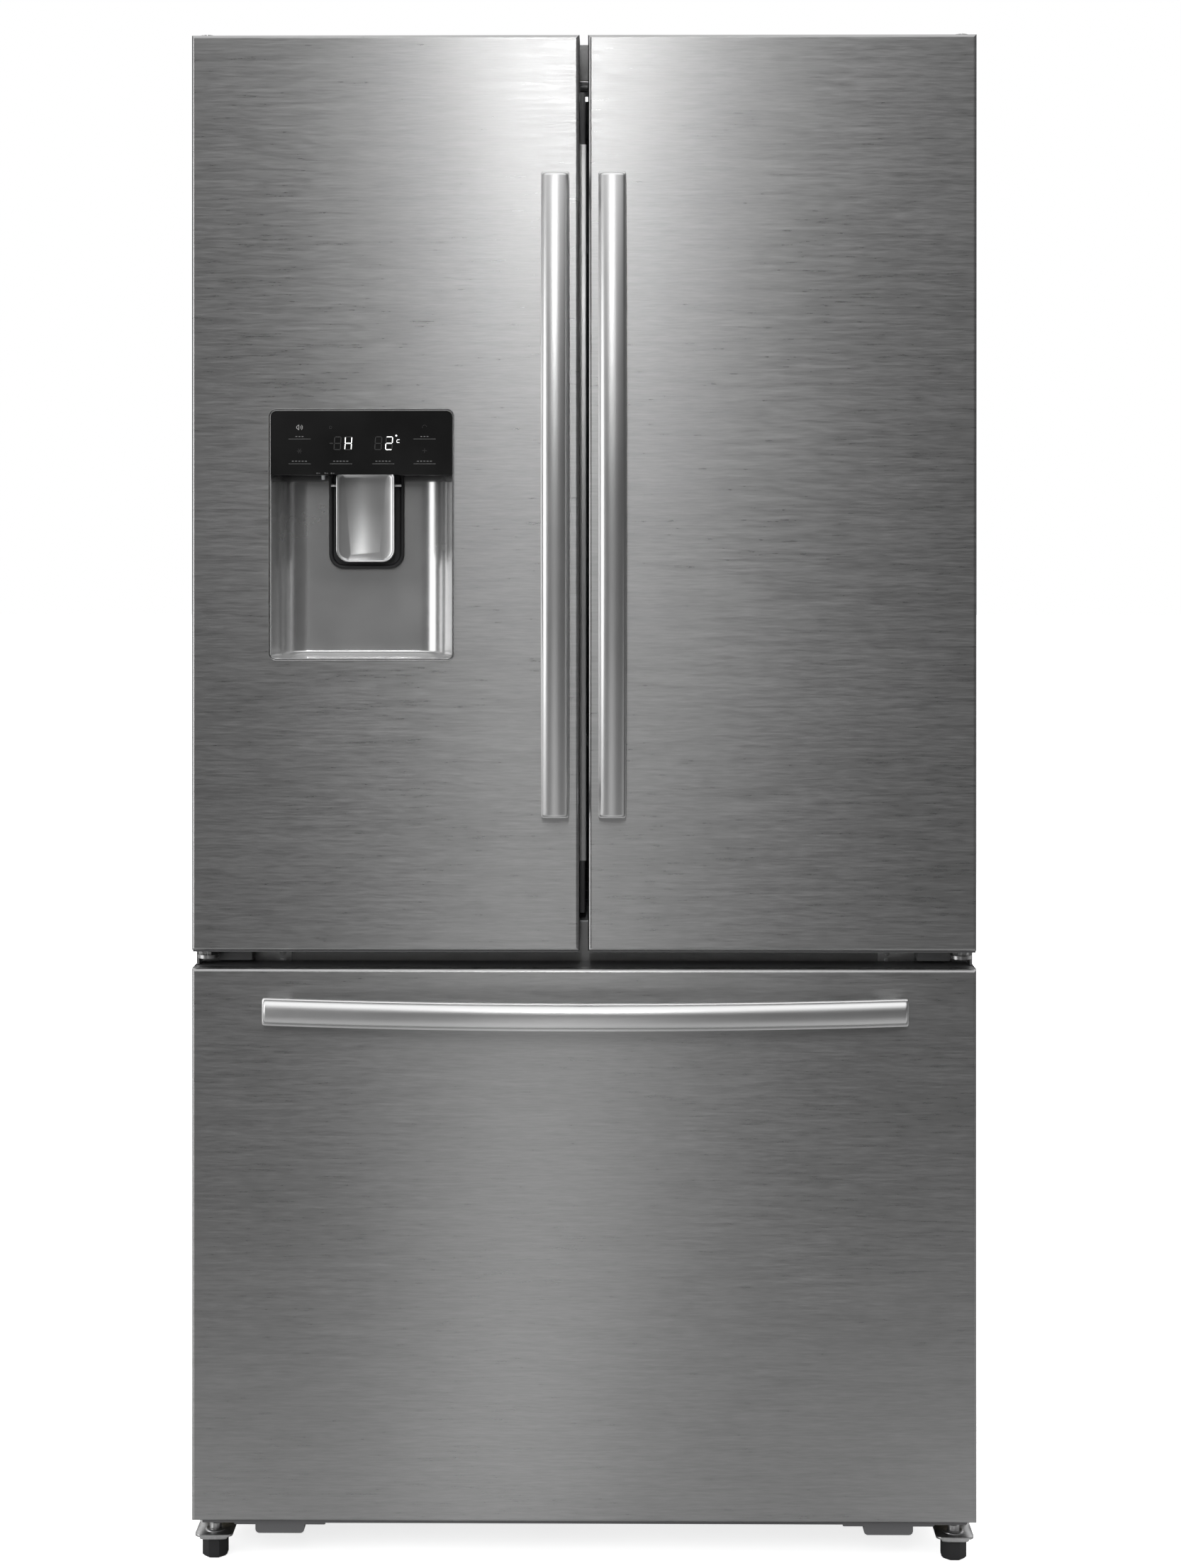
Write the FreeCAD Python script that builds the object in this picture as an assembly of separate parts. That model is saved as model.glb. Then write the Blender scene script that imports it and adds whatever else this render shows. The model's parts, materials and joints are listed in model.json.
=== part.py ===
import FreeCAD, Part
import math
import os

# French door refrigerator, millimetres. +X right, -Y front, +Z up.
# Origin: centre of the overall box at floor level.

V = FreeCAD.Vector
X_AXIS, Y_AXIS, Z_AXIS = V(1, 0, 0), V(0, 1, 0), V(0, 0, 1)

# ---------------------------------------------------------------- driving dimensions
WIDTH = 910.0
DEPTH = 750.0
HEIGHT = 1785.0
HALF_W = WIDTH / 2
REAR = DEPTH / 2
HANDLE_REACH = 60.0
PANEL_T = 66.0
SEAL_GAP = 12.0
FACE = -REAR + HANDLE_REACH            # front face of the doors and the drawer
BACK = FACE + PANEL_T                  # rear face of the doors and the drawer
CAB_FRONT = BACK + SEAL_GAP            # front plane of the cabinet

DOOR_TOP = 1775.0
DOOR_BOTTOM = 713.0
DRAWER_TOP = 692.0
DRAWER_BOTTOM = 51.0
DOOR_GAP = 10.0
CAB_TOP = 1776.0
CAB_BOTTOM = 46.0
CAB_HALF = HALF_W - 1.0

SHEET = 1.0                            # outer steel sheet
LINER_T = 2.0
WALL_T = 46.0                          # insulation in the side walls
FOLD_R = 4.0                           # rounded edges of the pressed steel fronts
CAP_T = 20.0                           # plastic end caps of the fronts
CAP_DROP = 7.0                         # top caps lie this far below the steel edge

LINER_HALF = CAB_HALF - SHEET - WALL_T + 1.0
IN_HALF = LINER_HALF - LINER_T         # half width inside the liners
FRIDGE_FLOOR = 735.0
FRIDGE_CEILING = 1734.0
FREEZER_FLOOR = 95.0
FREEZER_CEILING = 668.0
STEP_Z = 350.0                         # the freezer liner steps over the machine space
STEP_Y = 130.0
LINER_BACK = 320.0

HINGE_X = 441.0
HINGE_Y = (FACE + BACK) / 2
PIN_R = 5.0
PIN_FIT = 0.06                         # radial running clearance of every pin

GASKET_W = 16.0
GASKET_GAP = 0.3
TINY = 0.5


# ---------------------------------------------------------------- small helpers
def box(x0, x1, y0, y1, z0, z1):
    return Part.makeBox(x1 - x0, y1 - y0, z1 - z0, V(x0, y0, z0))


def rod(start, axis, length, radius):
    return Part.makeCylinder(radius, length, start, axis)


def fuse(shapes):
    return shapes[0].multiFuse(shapes[1:]).removeSplitter() if len(shapes) > 1 else shapes[0]


def mirror_x(shape):
    return shape.mirror(V(0, 0, 0), X_AXIS)


def both_sides(shape):
    return Part.makeCompound([shape, mirror_x(shape)])


def edges_along(shape, axis, keep=lambda middle: True):
    """Straight edges parallel to axis whose middle passes keep."""
    found = []
    for edge in shape.Edges:
        if len(edge.Vertexes) != 2 or not isinstance(edge.Curve, (Part.Line, Part.LineSegment)):
            continue
        run = edge.Vertexes[1].Point - edge.Vertexes[0].Point
        if run.Length > TINY and run.cross(axis).Length < 1e-6 * run.Length:
            middle = (edge.Vertexes[1].Point + edge.Vertexes[0].Point) * 0.5
            if keep(middle):
                found.append(edge)
    return found


def rounded(shape, radius, axis, keep=lambda middle: True):
    edges = edges_along(shape, axis, keep)
    return shape.makeFillet(radius, edges) if edges else shape


def ring_xz(x0, x1, y0, y1, z0, z1, width, radius=0.0):
    """Rectangular ring in the XZ plane."""
    outer = box(x0, x1, y0, y1, z0, z1)
    inner = box(x0 + width, x1 - width, y0 - 1, y1 + 1, z0 + width, z1 - width)
    if radius:
        outer = rounded(outer, radius, Y_AXIS)
        if radius > width:
            inner = rounded(inner, radius - width, Y_AXIS)
    return outer.cut(inner)


def tray(x0, x1, y0, y1, z0, z1, wall, radius=0.0, floor=None):
    """Open-topped tray with rounded upright corners."""
    floor = wall if floor is None else floor
    outer = box(x0, x1, y0, y1, z0, z1)
    inner = box(x0 + wall, x1 - wall, y0 + wall, y1 - wall, z0 + floor, z1 + 1)
    if radius:
        outer = rounded(outer, radius, Z_AXIS)
        inner = rounded(inner, radius - wall, Z_AXIS)
    return outer.cut(inner)


def prism_x(points, x0, x1):
    """Polygon given in (y, z), extruded along X."""
    wire = Part.makePolygon([V(x0, y, z) for y, z in points + points[:1]])
    return Part.Face(wire).extrude(V(x1 - x0, 0, 0))


def serpentine(x0, x1, y, z0, passes, pitch, radius):
    """Tube that runs to and fro along X and climbs by pitch at each bend."""
    pieces = []
    bend = pitch / 2
    for i in range(passes):
        z = z0 + i * pitch
        pieces.append(rod(V(x0, y, z), X_AXIS, x1 - x0, radius))
        if i < passes - 1:
            end = x1 if i % 2 == 0 else x0
            side = 1 if i % 2 == 0 else -1
            torus = Part.makeTorus(bend, radius, V(end, y, z + bend), Y_AXIS)
            half = box(0, 2 * pitch, y - pitch, y + pitch, z - pitch, z + 2 * pitch)
            half.translate(V(end if side > 0 else end - 2 * pitch, 0, 0))
            pieces.append(torus.common(half))
    return fuse(pieces)


def fan(centre, axis, hub_r, tip_r, hub_len, blades, blade_t, pitch_deg):
    """Hub along axis with flat pitched blades; built along +Z and then turned."""
    parts = [rod(V(0, 0, -hub_len / 2), Z_AXIS, hub_len, hub_r)]
    chord = hub_r * 1.6
    for i in range(blades):
        blade = box(hub_r * 0.6, tip_r, -chord / 2, chord / 2, -blade_t / 2, blade_t / 2)
        blade = rounded(blade, chord * 0.3, Z_AXIS, lambda m: m.x > hub_r)
        blade.rotate(V(0, 0, 0), X_AXIS, pitch_deg)
        blade.rotate(V(0, 0, 0), Z_AXIS, 360.0 * i / blades)
        parts.append(blade)
    wheel = fuse(parts)
    turn = FreeCAD.Rotation(Z_AXIS, axis)
    wheel.Placement = FreeCAD.Placement(centre, turn)
    return wheel


def screw(tip, axis, shank_r, length, head_r, head_t):
    """Pan head screw; tip is the seat under the head, axis points out of the head."""
    shank = rod(tip - axis * length, axis, length, shank_r)
    head = rod(tip, axis, head_t, head_r)
    head = head.makeFillet(head_t * 0.6, [e for e in head.Edges
                                          if (e.CenterOfMass - tip).dot(axis) > head_t - 0.01])
    return fuse([shank, head])


os.makedirs("parts", exist_ok=True)


def save(name, shape):
    if not shape.isValid():
        print("not valid:", name)
    shape.exportStep("parts/" + name + ".step")


# ---------------------------------------------------------------- front panels
END_FOLD = 17.0                        # depth of the steel fold over the ends of a front


def foam_slab(x0, x1, y0, y1, z0, z1, outer_x0, outer_x1):
    """Slab of insulation, eased where it meets the rounded vertical folds of the skin."""
    slab = box(x0, x1, y0, y1, z0, z1)
    return rounded(slab, FOLD_R, Z_AXIS, lambda m: m.y < y0 + TINY and
                   (m.x < outer_x0 + TINY or m.x > outer_x1 - TINY))


def panel_skin(x0, x1, z0, z1):
    """Pressed steel front: face, deep side folds, shallow folds at top and bottom."""
    side_fold = 60.0
    outer = box(x0, x1, FACE, BACK, z0, z1)
    outer = outer.makeFillet(FOLD_R, [e for e in outer.Edges if e.CenterOfMass.y < FACE + TINY])
    t = 0.8
    inner = box(x0 + t, x1 - t, FACE + t, BACK + 1, z0 + t, z1 - t)
    inner = inner.makeFillet(FOLD_R - t, [e for e in inner.Edges
                                          if e.CenterOfMass.y < FACE + t + TINY])
    shell = outer.cut(inner)
    shell = shell.cut(box(x0 - 1, x1 + 1, FACE + side_fold, BACK + 1, z0 - 1, z1 + 1))
    for end in (z0, z1):
        open_end = box(x0 + t, x1 - t, FACE + END_FOLD, BACK, end - 2, end + 2)
        shell = shell.cut(open_end)
    return shell


def end_cap(x0, x1, z0, z1, pin_x=None):
    """Plastic cap that closes the top or bottom of a front, with a hinge bushing hole."""
    cap = box(x0 + SHEET, x1 - SHEET, FACE + FOLD_R, BACK, z0, z1)
    fold = 0.8
    cap = cap.cut(box(x0, x1, FACE, FACE + END_FOLD, DOOR_BOTTOM, DOOR_BOTTOM + fold))
    if pin_x is not None:
        cap = cap.cut(rod(V(pin_x, HINGE_Y, z0 - 1), Z_AXIS, z1 - z0 + 2, PIN_R + PIN_FIT))
    return cap


def magnet_gasket(x0, x1, z0, z1):
    """Soft magnetic seal, with a groove along its outside."""
    seal = ring_xz(x0, x1, BACK, CAB_FRONT - GASKET_GAP, z0, z1, GASKET_W, 6.0)
    groove_y = (BACK + CAB_FRONT) / 2
    rim = ring_xz(x0 - 4, x1 + 4, groove_y - 1.5, groove_y + 1.5, z0 - 4, z1 + 4, 6.0)
    return seal.cut(rim)


def dyke(x0, x1, z0, z1, depth, wall, plate_x0, plate_x1, plate_z0, plate_z1):
    """Inner face of a front: flat plate with a raised frame that holds the bins."""
    plate = box(plate_x0, plate_x1, BACK - LINER_T, BACK, plate_z0, plate_z1)
    frame = ring_xz(x0, x1, BACK - TINY, BACK + depth, z0, z1, wall)
    frame = rounded(frame, 8.0, Z_AXIS, lambda m: m.y > BACK + depth - 1 and
                    (m.x < x0 + 1 or m.x > x1 - 1))
    return fuse([plate, frame])


# ---------------------------------------------------------------- handles
HANDLE_LEN = 746.0
HANDLE_W = 32.0
HANDLE_T = 14.0
HANDLE_END = 26.0                      # how far the front of each end stands off the door
HANDLE_POST = 22.0


def handle_bar():
    """Bowed bar with two posts, centred on the origin, long axis Z, door face at y = 0."""
    bow = HANDLE_REACH - HANDLE_END
    half = HANDLE_LEN / 2

    def arc(front):
        return Part.Arc(V(0, -front, -half), V(0, -front - bow, 0), V(0, -front, half)).toShape()

    outer = arc(HANDLE_END)
    inner = arc(HANDLE_END - HANDLE_T)
    ends = [Part.makeLine(V(0, -HANDLE_END, z), V(0, HANDLE_T - HANDLE_END, z))
            for z in (-half, half)]
    face = Part.Face(Part.Wire(Part.__sortEdges__([outer, inner] + ends)))
    bar = face.extrude(V(HANDLE_W, 0, 0))
    bar.translate(V(-HANDLE_W / 2, 0, 0))
    long_front = [e for e in bar.Edges if e.Length > half and e.CenterOfMass.y < -HANDLE_END - 12]
    front_outer = sorted(long_front, key=lambda e: e.CenterOfMass.y)[:2]
    bar = bar.makeFillet(9.0, front_outer)
    posts = []
    for side in (-1, 1):
        z = side * (half - HANDLE_POST)
        post = box(-HANDLE_W / 2 + 5, HANDLE_W / 2 - 5, -HANDLE_END + HANDLE_T / 2 - 3, 0,
                   z - 12, z + 12)
        posts.append(rounded(post, 4.0, Y_AXIS))
    return fuse([bar] + posts)


# ---------------------------------------------------------------- cabinet
def cabinet_nodes():
    top_in = CAB_TOP - SHEET
    wall_in = CAB_HALF - SHEET
    back_foam_y = REAR - 3.0

    outer = box(-CAB_HALF, CAB_HALF, CAB_FRONT, back_foam_y, CAB_BOTTOM, CAB_TOP)
    outer = rounded(outer, 3.0, Y_AXIS, lambda m: m.z > CAB_TOP - 1)
    inner = box(-wall_in, wall_in, CAB_FRONT + SHEET, back_foam_y + 1, CAB_BOTTOM - 1, top_in)
    opening = box(-LINER_HALF, LINER_HALF, CAB_FRONT - 1, CAB_FRONT + 2,
                  FREEZER_FLOOR, FRIDGE_CEILING)
    under = box(-wall_in, wall_in, CAB_FRONT - 1, back_foam_y + 1, CAB_BOTTOM - 1, CAB_BOTTOM + 2)
    save("cabinet_shell", outer.cut(inner).cut(opening).cut(under))

    front_y = CAB_FRONT + SHEET
    wall_x = LINER_HALF
    slabs = [
        box(-wall_in, -wall_x, front_y, back_foam_y, CAB_BOTTOM, top_in),
        box(wall_x, wall_in, front_y, back_foam_y, CAB_BOTTOM, top_in),
        box(-wall_x, wall_x, front_y, back_foam_y, FRIDGE_CEILING, top_in),
        box(-wall_x, wall_x, front_y + SHEET, LINER_BACK, FREEZER_CEILING, FRIDGE_FLOOR),
        box(-wall_x, wall_x, LINER_BACK, back_foam_y, STEP_Z, FRIDGE_CEILING),
        box(-wall_x, wall_x, STEP_Y + 30, LINER_BACK, STEP_Z - 30, STEP_Z),
        box(-wall_x, wall_x, STEP_Y, STEP_Y + 30, FREEZER_FLOOR, STEP_Z),
        box(-wall_x, wall_x, front_y, STEP_Y + 30, CAB_BOTTOM + 2, FREEZER_FLOOR),
    ]
    save("insulation_foam", Part.makeCompound(slabs))

    back = box(-wall_in, wall_in, back_foam_y, back_foam_y + SHEET, STEP_Z - 1, top_in - 1)
    beads = [rounded(box(x - 60, x + 60, back_foam_y, REAR - 0.5, STEP_Z + 120, top_in - 120),
                     1.2, Z_AXIS, lambda m: m.y > REAR - 1) for x in (-250, 0, 250)]
    leg = box(wall_x, wall_in, back_foam_y, back_foam_y + SHEET, CAB_BOTTOM, STEP_Z - 1)
    save("back_panel", Part.makeCompound([fuse([back] + beads), leg, mirror_x(leg)]))

    def liner(profile_out, profile_in):
        solid = prism_x(profile_out, -LINER_HALF, LINER_HALF)
        return solid.cut(prism_x(profile_in, -IN_HALF, IN_HALF))

    y0, y1, t = front_y + SHEET, LINER_BACK, LINER_T
    z0, z1 = FRIDGE_FLOOR, FRIDGE_CEILING
    fridge = liner([(y0, z0), (y1, z0), (y1, z1), (y0, z1)],
                   [(y0 - 1, z0 + t), (y1 - t, z0 + t), (y1 - t, z1 - t), (y0 - 1, z1 - t)])
    save("fridge_liner", fridge)

    z0, z1 = FREEZER_FLOOR, FREEZER_CEILING
    freezer = liner(
        [(y0, z0), (STEP_Y, z0), (STEP_Y, STEP_Z), (y1, STEP_Z), (y1, z1), (y0, z1)],
        [(y0 - 1, z0 + t), (STEP_Y - t, z0 + t), (STEP_Y - t, STEP_Z + t),
         (y1 - t, STEP_Z + t), (y1 - t, z1 - t), (y0 - 1, z1 - t)])
    save("freezer_liner", freezer)

    rail = box(-LINER_HALF, LINER_HALF, CAB_FRONT, CAB_FRONT + SHEET,
               FREEZER_CEILING, FRIDGE_FLOOR)
    lip = box(-LINER_HALF, LINER_HALF, CAB_FRONT, CAB_FRONT + 2 * SHEET,
              FRIDGE_FLOOR - 3, FRIDGE_FLOOR)
    save("centre_rail", fuse([rail, lip]))

    base = box(-wall_x, wall_x, CAB_FRONT - 3, STEP_Y + 20, CAB_BOTTOM, CAB_BOTTOM + 2)
    fascia = box(-wall_x, wall_x, CAB_FRONT - 10, CAB_FRONT, CAB_BOTTOM - 4, CAB_BOTTOM + 2)
    fascia = rounded(fascia, 2.0, X_AXIS, lambda m: m.y < CAB_FRONT - 9)
    save("bottom_trim", fuse([base, fascia]))


# ---------------------------------------------------------------- hinges
BUSH_DEPTH = 13.0
HINGE_PLATE = 3.5
SCREW_HEAD_T = 2.2
MID_PLATE_Z = 700.0


def hinge_nodes():
    cap_top = DOOR_TOP - CAP_DROP
    pin_z0 = cap_top - BUSH_DEPTH
    arm = box(-HALF_W + 6, -HINGE_X + 30, HINGE_Y, -150, CAB_TOP, CAB_TOP + HINGE_PLATE)
    nose = rod(V(-HINGE_X, HINGE_Y, CAB_TOP), Z_AXIS, HINGE_PLATE, 8.0)
    pin = rod(V(-HINGE_X, HINGE_Y, pin_z0), Z_AXIS, CAB_TOP + 1 - pin_z0, PIN_R)
    top = fuse([arm, nose, pin])

    plate_top = MID_PLATE_Z + 4.0
    arm = box(-HALF_W + 1, -HINGE_X + 12, HINGE_Y, CAB_FRONT, MID_PLATE_Z, plate_top)
    nose = rod(V(-HINGE_X + 0.5, HINGE_Y, MID_PLATE_Z), Z_AXIS, 4.0, 12.4)
    flange = box(-HALF_W + 1, -HINGE_X + 12, CAB_FRONT - 3, CAB_FRONT, 692, 712)
    ear = box(-HALF_W + 1, -HALF_W + 4, HINGE_Y, CAB_FRONT, 692, 708)
    pin = rod(V(-HINGE_X, HINGE_Y, plate_top - 1), Z_AXIS, BUSH_DEPTH + 8, PIN_R)
    collar = rod(V(-HINGE_X, HINGE_Y, plate_top - 1), Z_AXIS, 5.0, 9.0)
    middle = fuse([arm, nose, flange, ear, pin, collar])
    save("door_hinges", Part.makeCompound([both_sides(top), both_sides(middle)]))

    cover_x0, cover_x1, cover_y1 = -HALF_W + 3, -HINGE_X + 75, -148.0
    z0 = CAB_TOP
    shape = prism_x([(HINGE_Y + 20, z0), (HINGE_Y + 20, z0 + 5.0), (HINGE_Y + 40, HEIGHT),
                     (cover_y1 - 12, HEIGHT), (cover_y1 + 2, z0 + 3), (cover_y1 + 2, z0)],
                    cover_x0, cover_x1)
    pocket = box(cover_x0 + 2, -HINGE_X + 31, HINGE_Y + 18, cover_y1 - 1, z0 - 1,
                 z0 + HINGE_PLATE + SCREW_HEAD_T + 0.4)
    shape = shape.cut(pocket)
    save("hinge_covers", both_sides(shape))

    screws = []
    head_r, head_t = 6.5, 2.6
    rail_z = 697.0
    for x in (-358.0, 358.0):
        screws.append(screw(V(x, CAB_FRONT, rail_z), V(0, -1, 0), 2.5, 14, head_r, head_t))
    for y in (-215.0, -175.0):
        for side in (-1, 1):
            seat = V(side * (HINGE_X - 18), y, CAB_TOP + HINGE_PLATE)
            screws.append(screw(seat, Z_AXIS, 2.5, 14, 5.0, SCREW_HEAD_T))
    for x in (-360.0, -120.0, 120.0, 360.0):
        screws.append(screw(V(x, REAR, STEP_Z - 14), Y_AXIS, 2.0, 10, 4.5, 2.0))
    save("screws", Part.makeCompound(screws))


# ---------------------------------------------------------------- fridge inside
SHELF_LEVELS = (1150.0, 1350.0, 1550.0)
CRISPER_TOP = 935.0
SHELF_Y0, SHELF_Y1 = -95.0, 252.0
GLASS_T = 5.0


def shelf_nodes():
    panes, trims = [], []

    def shelf(x0, x1, z):
        panes.append(box(x0 + 6, x1 - 6, SHELF_Y0 + 4, SHELF_Y1 - 4, z, z + GLASS_T))
        for y0, y1, height in ((SHELF_Y0, SHELF_Y0 + 16, 14.0), (SHELF_Y1 - 14, SHELF_Y1, 18.0)):
            rail = box(x0 + 3, x1 - 3, y0, y1, z - 4, z - 4 + height)
            slot = box(x0 + 6, x1 - 6, SHELF_Y0 + 4, SHELF_Y1 - 4, z, z + GLASS_T)
            rail = rounded(rail, 3.0, X_AXIS, lambda m: m.y < y0 + 1 and y0 < 0)
            trims.append(rail.cut(slot))
        for x in (x0, x1 - 3):
            trims.append(box(x, x + 3, SHELF_Y0 + 2, SHELF_Y1, z - 10, z + 6))

    shelf(-IN_HALF + 1, IN_HALF - 1, CRISPER_TOP)
    for z in SHELF_LEVELS:
        for x0, x1 in ((-IN_HALF + 1, -2), (2, IN_HALF - 1)):
            shelf(x0, x1, z)
    save("glass_shelves", Part.makeCompound(panes))
    save("shelf_trims", Part.makeCompound(trims))

    duct_half, duct_y, duct_z0, duct_z1 = 75.0, SHELF_Y1 + 8, 960, 1715
    duct = box(-duct_half, duct_half, duct_y, LINER_BACK - LINER_T, duct_z0, duct_z1)
    duct = rounded(duct, 12.0, Z_AXIS, lambda m: m.y < duct_y + 1)
    for z in range(duct_z0 + 50, duct_z1 - 15, 90):
        for x in (-duct_half / 2, duct_half / 2):
            vent = box(x - 22, x + 22, duct_y - 1, duct_y + 8, z, z + 9)
            duct = duct.cut(rounded(vent, 4.0, Y_AXIS))
    save("air_duct", duct)


def crisper(side):
    """Drawer under the lowest shelf, with a thicker front and a finger recess."""
    x_in, x_out = 9.0, IN_HALF - 9.0
    x0, x1 = (x_in, x_out) if side > 0 else (-x_out, -x_in)
    front_y, wall_y = SHELF_Y0 - 10, SHELF_Y0 + 1
    body = tray(x0, x1, SHELF_Y0, 240, FRIDGE_FLOOR + 6, CRISPER_TOP - 14, 3.0, 12.0)
    front = box(x0 - 3, x1 + 3, front_y, wall_y, FRIDGE_FLOOR + 5, CRISPER_TOP - 8)
    front = rounded(front, 5.0, X_AXIS, lambda m: m.y < front_y + 1)
    grip_y = front_y + 4
    grip = box(x0 + 60, x1 - 60, front_y - 2, grip_y, CRISPER_TOP - 40, CRISPER_TOP - 16)
    return fuse([body, front.cut(rounded(grip, 2.5, X_AXIS, lambda m: m.y > grip_y - 1))])


# ---------------------------------------------------------------- freezer inside
FAN_Z = 600.0
COVER_Y = 250.0
MOUTH_R = 46.0                         # opening in front of the evaporator's fan


def freezer_nodes():
    cover = box(-IN_HALF + 1, IN_HALF - 1, COVER_Y, COVER_Y + 4, STEP_Z + 4,
                FREEZER_CEILING - LINER_T - 1)
    cover = cover.cut(rod(V(0, COVER_Y - 1, FAN_Z), Y_AXIS, 6, MOUTH_R))
    bar_w, bar_t = 3.0, 3.0
    grille = [rod(V(0, COVER_Y, FAN_Z), Y_AXIS, bar_t, r).cut(
        rod(V(0, COVER_Y - 1, FAN_Z), Y_AXIS, bar_t + 2, r - bar_w)) for r in (16, 27, 38)]
    grille.append(rod(V(0, COVER_Y, FAN_Z), Y_AXIS, bar_t, 7))
    for angle in (0, 60, 120):
        bar = box(-MOUTH_R - 1, MOUTH_R + 1, COVER_Y, COVER_Y + bar_t, -2, 2)
        bar.rotate(V(0, 0, 0), Y_AXIS, angle)
        bar.translate(V(0, 0, FAN_Z))
        grille.append(bar)
    slots = [box(x - 30, x + 30, COVER_Y - 1, COVER_Y + 5, 380, 388)
             for x in range(-320, 321, 80)]
    save("evaporator_cover", fuse([cover] + grille).cut(Part.makeCompound(slots)))
    save("evaporator_coil", evaporator_coil())
    save("evaporator_fan", fan(V(0, 268, FAN_Z), Y_AXIS, 13, 40, 14, 5, 1.6, 28))


def evaporator_coil():
    """Two banks of tube through a row of upright aluminium fins."""
    half, first_z, passes, pitch, tube_r = 300.0, 385.0, 6, 30.0, 4.0
    banks = (288.0, 306.0)
    coils = [serpentine(-half, half, y, first_z, passes, pitch, tube_r) for y in banks]
    fin_t, fin_pitch, fin_count, fin_half = 0.8, 24.0, 25, 288.0
    fins = []
    for i in range(fin_count):
        x = -fin_half + i * fin_pitch
        fin = box(x, x + fin_t, banks[0] - 9, banks[1] + 9, first_z - 11,
                  first_z + (passes - 1) * pitch + 11)
        holes = [rod(V(x - 1, y, first_z + pitch * k), X_AXIS, 3, tube_r)
                 for y in banks for k in range(passes)]
        fins.append(fin.cut(Part.makeCompound(holes)))
    return Part.makeCompound(coils + fins)


# ---------------------------------------------------------------- machine space
TRAY_Z = 52.0
FAN_X, FAN_Y, FAN_HEIGHT = 52.0, 262.0, 180.0
AXLE_Y, AXLE_Z, AXLE_R = 300.0, 18.0, 4.0
ROLLER_X = 384.0
TUBE_R = 4.0                           # outer radius of the refrigerant tubes


def machine_tray():
    """Galvanised pan with the fan's shroud and the ears of the rear rollers."""
    x_in = LINER_HALF
    pan = box(-x_in, x_in, STEP_Y + 30, REAR - 6, TRAY_Z, TRAY_Z + 2)
    front_lip = box(-x_in, x_in, STEP_Y + 30, STEP_Y + 32, TRAY_Z - 8, TRAY_Z + 14)
    shroud_x, shroud_t, mouth_r = FAN_X - 14, 4.0, 68.0
    shroud = box(shroud_x, shroud_x + shroud_t, STEP_Y + 40, REAR - 12, TRAY_Z + 2, 310)
    shroud = shroud.cut(rod(V(shroud_x - 2, FAN_Y, FAN_HEIGHT), X_AXIS, 8, mouth_r))
    spider = [box(shroud_x - 2, shroud_x, FAN_Y - mouth_r - 1, FAN_Y + mouth_r + 1,
                  FAN_HEIGHT - 4, FAN_HEIGHT + 4),
              rod(V(shroud_x - 10, FAN_Y, FAN_HEIGHT), X_AXIS, 10, 16)]
    ears = []
    for x in (-ROLLER_X, ROLLER_X):
        for dx in (-15.0, 12.0):
            ear = box(x + dx, x + dx + 3, AXLE_Y - 15, AXLE_Y + 15, 8, TRAY_Z)
            hole = rod(V(x + dx - 1, AXLE_Y, AXLE_Z), X_AXIS, 5, AXLE_R + PIN_FIT)
            ears.append(ear.cut(hole))
    return fuse([pan, front_lip, shroud] + spider + ears)


def rear_rollers():
    """Two plastic rollers on one steel axle."""
    wheel_r, wheel_w, overhang = 18.0, 22.0, 18.0
    rollers = [rod(V(-ROLLER_X - overhang, AXLE_Y, AXLE_Z), X_AXIS,
                   2 * (ROLLER_X + overhang), AXLE_R)]
    for x in (-ROLLER_X, ROLLER_X):
        wheel = rod(V(x - wheel_w / 2, AXLE_Y, AXLE_Z), X_AXIS, wheel_w, wheel_r)
        rim = [e for e in wheel.Edges if e.Length > 5 * wheel_r]
        rollers.append(wheel.makeFillet(2.0, rim))
    return fuse(rollers)


def compressor():
    """Sealed pot on a cradle with four rubber feet, two tube stubs and a starter."""
    cx, cy, base_z = 235.0, 262.0, TRAY_Z + 14
    profile = [V(0, 0, 0), V(70, 0, 0), V(86, 0, 18), V(88, 0, 60), V(86, 0, 62), V(86, 0, 66),
               V(88, 0, 68), V(84, 0, 130), V(58, 0, 162), V(0, 0, 170)]
    wire = Part.makePolygon(profile + profile[:1])
    dome = Part.Face(wire).revolve(V(0, 0, 0), Z_AXIS, 360)
    dome.translate(V(cx, cy, base_z))
    foot_dx, foot_dy = 95.0, 62.0
    mounts = []
    for y in (cy - foot_dy, cy + foot_dy):
        mounts.append(box(cx - foot_dx - 15, cx + foot_dx + 15, y - 12, y + 12,
                          TRAY_Z + 10, TRAY_Z + 16))
        for x in (cx - foot_dx, cx + foot_dx):
            mounts.append(rod(V(x, y, TRAY_Z + 2), Z_AXIS, 9, 9))
    stubs = [rod(V(cx - 60, cy - 40, base_z + 130), Z_AXIS, 60, 5),
             rod(V(cx + 55, cy + 45, base_z + 130), Z_AXIS, 60, TUBE_R)]
    starter = box(cx - 100, cx - 80, cy - 28, cy + 28, base_z + 50, base_z + 110)
    return fuse([dome] + mounts + stubs + [starter])


def condenser_coil():
    """Four banks of tube to and fro, held by three upright combs."""
    x0, x1, first_z, passes, pitch = -360.0, -60.0, 82.0, 8, 26.0
    banks = (200.0, 235.0, 270.0, 305.0)
    tubes = [serpentine(x0, x1, y, first_z, passes, pitch, TUBE_R) for y in banks]
    comb_t, past = 3.0, 8.0
    combs = [box(x - comb_t / 2, x + comb_t / 2, banks[0] - past, banks[-1] + past,
                 TRAY_Z + 2, first_z + passes * pitch - 10)
             for x in (x0 + 20, (x0 + x1) / 2, x1 - 20)]
    return fuse(tubes + combs)


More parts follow.
